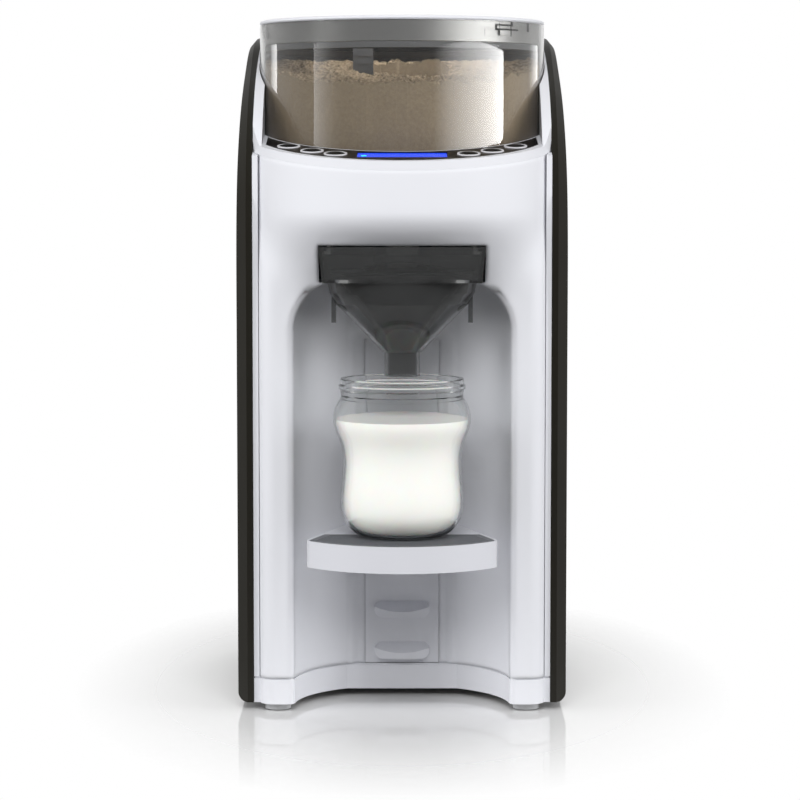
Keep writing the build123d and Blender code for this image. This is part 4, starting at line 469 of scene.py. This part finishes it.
class OBJECT_OT_container(bpy.types.Operator):
    """Finish the powder container, its lid and the stirrer"""

    bl_idname = "formula.container"
    bl_label = "Container and lid"

    def execute(self, context):
        tints = context.scene.formula_clear
        dress(clear("SAN smoke clear moulded", tints.smoke), "powder_container", "container_base")
        silver = metal("Aluminium silver spun", linear("#a4a4a4"), 0.35, (0.05, 0.05, 1), grain_mm=0.5)
        dress(silver, "lid_skirt")
        dress(rubber("Silicone grey gasket", linear("#77787a")), "lid_gasket")
        self.lock_mark()
        dress(moulded("PP grey stirrer", linear("#6a6b6e"), 0.45), "stirrer")
        dress(moulded("PP white inner mouldings", linear("#d8d8d6"), 0.5), "outlet_cover")
        dress(moulded("Acetal natural moulded", linear("#e4e2da"), 0.4), "dosing_wheel")
        return {"FINISHED"}

    def lock_mark(self):
        """Model the printed outline of the bayonet's way and the tick beside it on the lid's silver band."""
        deselect()
        low, high, rows = 386.0, 396.0, 20
        first, last = 38, 68
        bpy.ops.mesh.primitive_cylinder_add(
            vertices=720,
            radius=(SKIRT_R + PRINT_LIFT) * MM,
            depth=(high - low) * MM,
            end_fill_type="NOTHING",
            location=(0, CONTAINER_Y * MM, (low + high) / 2 * MM),
        )
        mark = named("lid_lock_mark")
        bpy.ops.object.transform_apply(location=True)

        def turn(place):
            return math.degrees(math.atan2(place.x, CONTAINER_Y * MM - place.y))

        pick(mark, "FACE", lambda place, normal: not first < turn(place) < last)
        bpy.ops.mesh.delete(type="FACE")
        for row in range(1, rows):
            bpy.ops.mesh.select_all(action="SELECT")
            height = low + row * (high - low) / rows
            bpy.ops.mesh.bisect(plane_co=(0, 0, height * MM), plane_no=(0, 0, 1))

        def drawn(place):
            angle, height = turn(place), place.z / MM
            return any(a < angle < b and c < height < d for a, b, c, d in LOCK_STROKES)

        pick(mark, "FACE", lambda place, normal: not drawn(place))
        bpy.ops.mesh.delete(type="FACE")
        bpy.ops.object.mode_set(mode="OBJECT")
        thick = mark.modifiers.new("ink", "SOLIDIFY")
        thick.thickness = 0.08 * MM
        thick.offset = 1
        settle(mark, moulded("Ink dark grey printed", linear("#3b3b3c"), 0.5))
        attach(mark, "lid")


class OBJECT_OT_powder(bpy.types.Operator):
    """Model the heap of milk powder"""

    bl_idname = "formula.powder"
    bl_label = "Powder"

    def execute(self, context):
        stock = context.scene.formula_powder
        deselect()
        height = (POWDER_TOP_Z - POWDER_LOW_Z) * MM
        bpy.ops.mesh.primitive_cylinder_add(
            vertices=420,
            radius=POWDER_R * MM,
            depth=height,
            location=(0, CONTAINER_Y * MM, POWDER_LOW_Z * MM + height / 2),
        )
        heap = named("powder_heap")
        bpy.ops.object.transform_apply(location=True)
        pick(heap, "FACE", lambda place, normal: normal.z > 0.9)
        rings = 16
        for _ in range(rings):
            bpy.ops.mesh.inset(thickness=(POWDER_R - POWDER_HOLE_R) * MM / rings, depth=0)
        # hollow that the stirrer sweeps, over a bed of powder
        bed = 8
        drop = (bed - POWDER_TOP_Z + POWDER_LOW_Z) * MM
        bpy.ops.mesh.extrude_region_move(TRANSFORM_OT_translate={"value": (0, 0, drop)})
        near_top = (POWDER_TOP_Z - 1) * MM
        pick(heap, "FACE", lambda place, normal: normal.z > 0.9 and place.z > near_top)
        bpy.ops.mesh.subdivide(number_cuts=2)
        # the front lies lower, where powder was taken out
        front = (CONTAINER_Y - 75) * MM
        pick(heap, "VERT", lambda place, normal: place.y < front and place.z > near_top)
        bpy.ops.transform.translate(
            value=(0, 0, -15 * MM),
            use_proportional_edit=True,
            proportional_edit_falloff="SMOOTH",
            proportional_size=105 * MM,
        )
        bpy.ops.object.mode_set(mode="OBJECT")
        # the whole top is rough, its lowered front too, but not the feet of the walls
        surface = heap.vertex_groups.new(name="surface")
        top = [v.index for v in heap.data.vertices if v.co.z > (POWDER_TOP_Z - 18) * MM]
        surface.add(top, 1.0, "REPLACE")
        for name, size, lift in (("drifts", 16, 7.0), ("clumps", 5, 4.6), ("grains", 2.2, 3.0)):
            cloud = bpy.data.textures.new(name, "CLOUDS")
            cloud.noise_scale = size * MM
            cloud.noise_depth = 3
            rough = heap.modifiers.new(name, "DISPLACE")
            rough.texture = cloud
            rough.texture_coords = "GLOBAL"
            rough.direction = "Z"
            rough.mid_level = 0.5
            rough.strength = lift * MM
            rough.vertex_group = "surface"
        settle(heap, milk_powder("Milk powder clumped", stock.colour, stock.grain_mm), angle=60)
        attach(heap, "container")
        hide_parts("formula_powder")
        return {"FINISHED"}


# Segments of the display: low x, low y, high x, high y from its middle, in millimetres
MARKS = (
    (-24, -2, -19, -1),
    (-23, -1, -20, 0),
    (-22, 0, -21, 1),
    (3, -2, 4, 2),
    (3, 1, 8, 2),
    (3, -2, 9, -1),
    (8, -2, 9, 0),
    (15, 1, 16, 2),
    (17, 1, 18, 2),
    (19, 0, 20, 2),
)


class OBJECT_OT_controls(bpy.types.Operator):
    """Finish the control strip, its buttons and the display"""

    bl_idname = "formula.controls"
    bl_label = "Controls"

    def execute(self, context):
        controls = context.scene.formula_controls
        dress(moulded("Acrylic satin black strip", linear("#08080a"), 0.32, ior=1.3), "control_panel")
        dress(moulded("ABS silver painted bezels", linear("#dedee2"), 0.3), "button_bezels")
        caps = moulded("ABS satin black buttons", linear("#0a0a0c"), 0.5, ior=1.3)
        dress(caps, *BUTTONS)
        dress(glowing("LCD blue lit", controls.blue, controls.glow), "display")
        self.display_marks(controls)
        dress(circuit("Glass epoxy green board", linear("#1d5a34")), "control_board", "power_board")
        return {"FINISHED"}

    def display_marks(self, controls):
        """Model the display's segments: cells of a grid of 1 mm, raised a little."""
        deselect()
        columns, rows = 50, 14
        bpy.ops.mesh.primitive_grid_add(x_subdivisions=columns, y_subdivisions=rows, size=MM)
        marks = named("display_marks")
        bpy.ops.transform.resize(value=(columns, rows, 1))
        bpy.ops.object.transform_apply(scale=True)

        def lit(place):
            x, y = place.x / MM, place.y / MM
            return any(low_x < x < high_x and low_y < y < high_y for low_x, low_y, high_x, high_y in MARKS)

        pick(marks, "FACE", lambda place, normal: not lit(place))
        bpy.ops.mesh.delete(type="FACE")
        bpy.ops.mesh.select_all(action="SELECT")
        bpy.ops.mesh.extrude_region_move(TRANSFORM_OT_translate={"value": (0, 0, 0.12 * MM)})
        bpy.ops.object.mode_set(mode="OBJECT")
        drop = DISPLAY_SUNK - PRINT_LIFT
        marks.rotation_euler.x = math.atan(DECK_SLOPE)
        marks.location = (0, DISPLAY_Y * MM, (LIP_Z + DECK_SLOPE * (DISPLAY_Y - LIP_Y) - drop) * MM)
        settle(marks, glowing("LCD cyan segments", controls.marks, 1.4 * controls.glow))
        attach(marks, "housing")


class OBJECT_OT_funnel(bpy.types.Operator):
    """Finish the funnel, its cover and its holder"""

    bl_idname = "formula.funnel"
    bl_label = "Funnel"

    def execute(self, context):
        tints = context.scene.formula_clear
        smoke = clear("Tritan dark smoke moulded", tints.funnel, rough=0.03, haze=0.16)
        dress(smoke, "funnel_holder", "funnel")
        dress(moulded("PP dark grey cover", linear("#2b2c2d"), 0.35), "funnel_cover")
        return {"FINISHED"}


class OBJECT_OT_tray(bpy.types.Operator):
    """Finish the bottle tray and its grille"""

    bl_idname = "formula.tray"
    bl_label = "Tray"

    def execute(self, context):
        body = context.scene.formula_body
        dress(moulded("ABS semi-gloss pale grey tray", body.tray, 0.35), "tray_body")
        dress(moulded("ABS grey grille", linear("#64666a"), 0.4), "tray_grille")
        return {"FINISHED"}


class OBJECT_OT_bottle(bpy.types.Operator):
    """Finish the bottle and its milk"""

    bl_idname = "formula.bottle"
    bl_label = "Bottle and milk"

    def execute(self, context):
        dress(clear("PP bottle clear blown", context.scene.formula_clear.bottle), "bottle")
        dress(milk_liquid("Milk prepared", context.scene.formula_powder.milk), "milk")
        return {"FINISHED"}


class OBJECT_OT_tank(bpy.types.Operator):
    """Finish the water tank and its small pieces; its lid's pins go with the lid, its valve's spring with the
    tank
    """

    bl_idname = "formula.tank"
    bl_label = "Water tank"

    def execute(self, context):
        dress(clear("SAN tank clear moulded", context.scene.formula_clear.tank, rough=0.03), "water_tank")
        dress(rubber("Rubber black moulded", linear("#1c1c1c")), "cord_inlet", "dock_seal")
        dress(rubber("Rubber pale grey moulded", linear("#b9babc")), "feet")
        dress(metal("Stainless steel drawn", linear("#c4c4c6"), 0.25), "tank_lid_pin", "valve_spring")
        dress(moulded("PP white valve", linear("#dadad6"), 0.45), "tank_valve")
        # the pins are pressed into the lid's knuckles and turn with them
        stand_in("tank_lid_pin", "tank_hinge_pin", "tank_cover")
        # the spring goes with the tank, on a mesh of its own
        coil = stand_in("valve_spring", "valve_spring_coil", "tank")
        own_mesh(coil)
        return {"FINISHED"}


class OBJECT_OT_inner_works(bpy.types.Operator):
    """Finish the drive, the water line and the frames inside"""

    bl_idname = "formula.inner_works"
    bl_label = "Inner works"

    def execute(self, context):
        steel = metal("Steel zinc plated", linear("#a9abae"), 0.35)
        dress(steel, "gear_plate", "chassis_frame", "heater", "dosing_motor", "case_screws")
        acetal = moulded("Acetal natural gears", linear("#e2e0d6"), 0.38)
        dress(acetal, "drive_gear", "pinion", "drive_bush", "water_nozzle")
        plain = moulded("ABS natural frames", linear("#cfcfcc"), 0.5)
        dress(plain, "deck_frame", "dispenser_frame", "base_plate", "water_pump", "flow_meter")
        dress(rubber("Silicone tube extruded", linear("#d5d5d0")), "cold_tubes", "hot_water_tube")
        return {"FINISHED"}


def lamp(name, place, aim, size, power, lit="matt", only=(), rise=None):
    """Rectangular softbox.

    lit is matt, gloss or mirror after what it lights, and only names the pieces that it reaches.
    rise grades its brightness by that power of the share of its width; below zero, from the other side.
    """
    data = bpy.data.lights.new(name, "AREA")
    data.shape = "RECTANGLE"
    data.size, data.size_y = size
    data.energy = power
    light = bpy.data.objects.new(name, data)
    light.location = place
    light.rotation_euler = (Vector(aim) - Vector(place)).to_track_quat("-Z", "Y").to_euler()
    light.visible_camera = light.visible_transmission = False
    light.visible_diffuse = lit == "matt"
    light.visible_glossy = lit != "matt"
    data.cycles.use_multiple_importance_sampling = lit == "mirror"
    if rise:
        data.use_nodes = True
        tree = data.node_tree
        tree.nodes.clear()
        across = put(tree, "ShaderNodeNewGeometry").outputs["Parametric"]
        share = put(tree, "ShaderNodeSeparateXYZ", links={0: across}).outputs["X"]
        if rise < 0:
            share = put(tree, "ShaderNodeMath", {"operation": "SUBTRACT", 0: 1.0}, {1: share}).outputs[0]
        graded = put(tree, "ShaderNodeMath", {"operation": "POWER", 1: abs(rise)}, {0: share})
        glow = put(tree, "ShaderNodeEmission", links={"Strength": graded.outputs[0]})
        put(tree, "ShaderNodeOutputLight", links={0: glow.outputs[0]})
    if only:
        reached = bpy.data.collections.new(f"reached by {name}")
        for piece in only:
            reached.objects.link(bpy.data.objects.get(piece) or NODES[piece])
        light.light_linking.receiver_collection = reached
    bpy.context.scene.collection.objects.link(light)


class OBJECT_OT_studio(bpy.types.Operator):
    """Set the floor, the backdrop, the lamps and the camera"""

    bl_idname = "formula.studio"
    bl_label = "Studio"

    def execute(self, context):
        self.floor()
        self.backdrop(context.scene)
        self.lamps()
        self.panels()
        self.camera(context.scene)
        context.scene.view_settings.view_transform = "Standard"
        return {"FINISHED"}

    def floor(self):
        """Glossy floor just under the feet, which fades into the backdrop."""
        deselect()
        bpy.ops.mesh.primitive_plane_add(size=4, location=(0, 0, -0.5 * MM))
        floor = named("studio_floor")
        grey = (0.72, 0.72, 0.72)
        material, tree, shader, output, place = new_material(
            "Studio floor gloss white", {"Base Color": rgba(grey), "Roughness": 0.02, "IOR": 1.45}
        )
        feed(tree, shader, {"Base Color": mottle(tree, place, grey, 800, 0.01)})
        narrow = put(tree, "ShaderNodeVectorMath", {"operation": "MULTIPLY", 1: (1.7, 1, 1)}, {0: place})
        far = put(tree, "ShaderNodeVectorMath", {"operation": "LENGTH"}, {0: narrow.outputs[0]})
        near, gone = 0.17, 0.34
        fade = put(
            tree, "ShaderNodeMapRange", {"From Min": near, "From Max": gone}, {"Value": far.outputs["Value"]}
        )
        bare = put(tree, "ShaderNodeBsdfTransparent")
        surface = {0: fade.outputs[0], 1: shader.outputs[0], 2: bare.outputs[0]}
        mix = put(tree, "ShaderNodeMixShader", links=surface)
        feed(tree, output, {"Surface": mix.outputs[0]})
        floor.data.materials.append(material)

    def backdrop(self, scene):
        """White to the eye, brighter behind the machine than in front of it in mirrors, dim as a light."""
        world = bpy.data.worlds.new("studio")
        scene.world = world
        world.use_nodes = True
        tree = world.node_tree
        tree.nodes.clear()
        way = put(tree, "ShaderNodeTexCoord").outputs["Generated"]
        back = put(tree, "ShaderNodeSeparateXYZ", links={0: way}).outputs["Y"]
        level = put(
            tree,
            "ShaderNodeMapRange",
            {"From Min": -0.35, "From Max": 0.25, "To Min": 0.15, "To Max": 0.45},
            {"Value": back},
        )
        # straight behind the machine the backdrop is as white in the floor's mirror as to the eye
        behind = put(
            tree, "ShaderNodeMapRange", {"From Min": 0.86, "From Max": 0.94, "To Max": 0.55}, {"Value": back}
        )
        both = {0: level.outputs[0], 1: behind.outputs[0]}
        mirror = put(tree, "ShaderNodeMath", {"operation": "ADD"}, both).outputs[0]
        path = put(tree, "ShaderNodeLightPath")
        sight = {0: path.outputs["Is Camera Ray"], 1: path.outputs["Is Transmission Ray"]}
        seen = put(tree, "ShaderNodeMath", {"operation": "MAXIMUM"}, sight).outputs[0]
        dim, white = 0.08, 1.0
        glossy = path.outputs["Is Glossy Ray"]
        unseen = put(tree, "ShaderNodeMix", {2: dim}, {0: glossy, 3: mirror}).outputs[0]
        strength = put(tree, "ShaderNodeMix", {3: white}, {0: seen, 2: unseen}).outputs[0]
        sky = put(tree, "ShaderNodeBackground", {"Color": (1, 1, 1, 1)}, {"Strength": strength})
        put(tree, "ShaderNodeOutputWorld", links={"Surface": sky.outputs[0]})

    def lamps(self):
        """Softboxes in front, behind and above, and the small lights of single pieces."""
        middle = Vector((0, -0.1, 0.2))
        # two soft sides and a key from above, so that the top of the bay's back stays in shade
        for side, name in ((-1, "left"), (1, "right")):
            lamp(f"{name} softbox", (1.1 * side, -0.45, 0.4), middle, (0.5, 0.9), 9.0)
        lamp("key softbox", (0, -1.22, 1.06), middle, (1.0, 0.9), 18.5)
        # soft light on the back, so that the tank and the panels read from behind too
        lamp("rear softbox", (0.3, 1.5, 0.8), middle, (1.2, 0.8), 14)
        # the light that the clear walls gather on the heap
        top = Vector((0, CONTAINER_Y * MM, 0.395))
        down = Vector((0, 0, -1))
        lamp("heap light", top, top + down, (0.1, 0.1), 0.06, only=("powder_heap", "stirrer"))
        # rims of the buttons mirror a strip above them
        keys = ("button_bezels", *BUTTONS)
        lamp("strip for the buttons", (0, -0.55, 1.1), (0, -0.14, 0.32), (1.0, 0.35), 4.0, "gloss", keys)

    def panels(self):
        """Upright panels round the container that its wall and the lid's band mirror."""
        radius = 1.3
        # from and to which angle in degrees from the front to the right, radiance and rise
        for name, near, far, radiance, rise in (
            ("right panel", 24, 87, 21, 1.2),
            ("right rear strip", 121, 139, 4, 1),
            ("left panel", -73, -45, 4, -2),
            ("left rear strip", -130, -118, 7, 1),
        ):
            turn, half = math.radians((near + far) / 2), math.radians(abs(far - near) / 2)
            width = 2 * radius * math.tan(half)
            for lit, low, high, only in (
                ("mirror", -0.1, 0.437, ("powder_container", "container_base")),
                ("gloss", -0.1, 0.9, ("lid_skirt",)),
            ):
                foot = Vector((0, CONTAINER_Y * MM, (low + high) / 2))
                place = foot + radius * Vector((math.sin(turn), -math.cos(turn), 0))
                power = math.pi * width * (high - low) * radiance
                lamp(f"{name}, {lit}", place, foot, (width, high - low), power, lit, only, rise)

    def camera(self, scene):
        """Camera straight in front, looking a little down."""
        view = scene.formula_stage
        data = bpy.data.cameras.new("camera")
        data.lens = view.lens
        camera = bpy.data.objects.new("camera", data)
        camera.location = (view.aside, -view.distance, view.eye)
        camera.rotation_euler = (math.pi / 2 - view.pitch, 0, 0)
        scene.collection.objects.link(camera)
        scene.camera = camera


class VIEW3D_PT_formula(bpy.types.Panel):
    """Lists the steps in their order"""

    bl_label = "Formula maker"
    bl_space_type = "VIEW_3D"
    bl_region_type = "UI"
    bl_category = "Formula maker"

    def draw(self, context):
        for step in STEPS:
            self.layout.operator(step.bl_idname)


STEPS = (
    OBJECT_OT_shells,
    OBJECT_OT_container,
    OBJECT_OT_powder,
    OBJECT_OT_controls,
    OBJECT_OT_funnel,
    OBJECT_OT_tray,
    OBJECT_OT_bottle,
    OBJECT_OT_tank,
    OBJECT_OT_inner_works,
    OBJECT_OT_studio,
)
SETTINGS = {
    "formula_body": BodySettings,
    "formula_clear": ClearSettings,
    "formula_powder": PowderSettings,
    "formula_controls": ControlSettings,
    "formula_stage": StageSettings,
}


def register():
    for group in (*SETTINGS.values(), *STEPS, VIEW3D_PT_formula):
        bpy.utils.register_class(group)
    for name, group in SETTINGS.items():
        setattr(bpy.types.Scene, name, bpy.props.PointerProperty(type=group))


def unregister():
    for name in SETTINGS:
        delattr(bpy.types.Scene, name)
    for group in reversed((*SETTINGS.values(), *STEPS, VIEW3D_PT_formula)):
        bpy.utils.unregister_class(group)


def main():
    register()
    for step in STEPS:
        name = step.bl_idname.split(".")[1]
        if getattr(bpy.ops.formula, name)() != {"FINISHED"}:
            raise RuntimeError(f"{step.bl_label} did not finish")


if __name__ == "__main__":
    main()
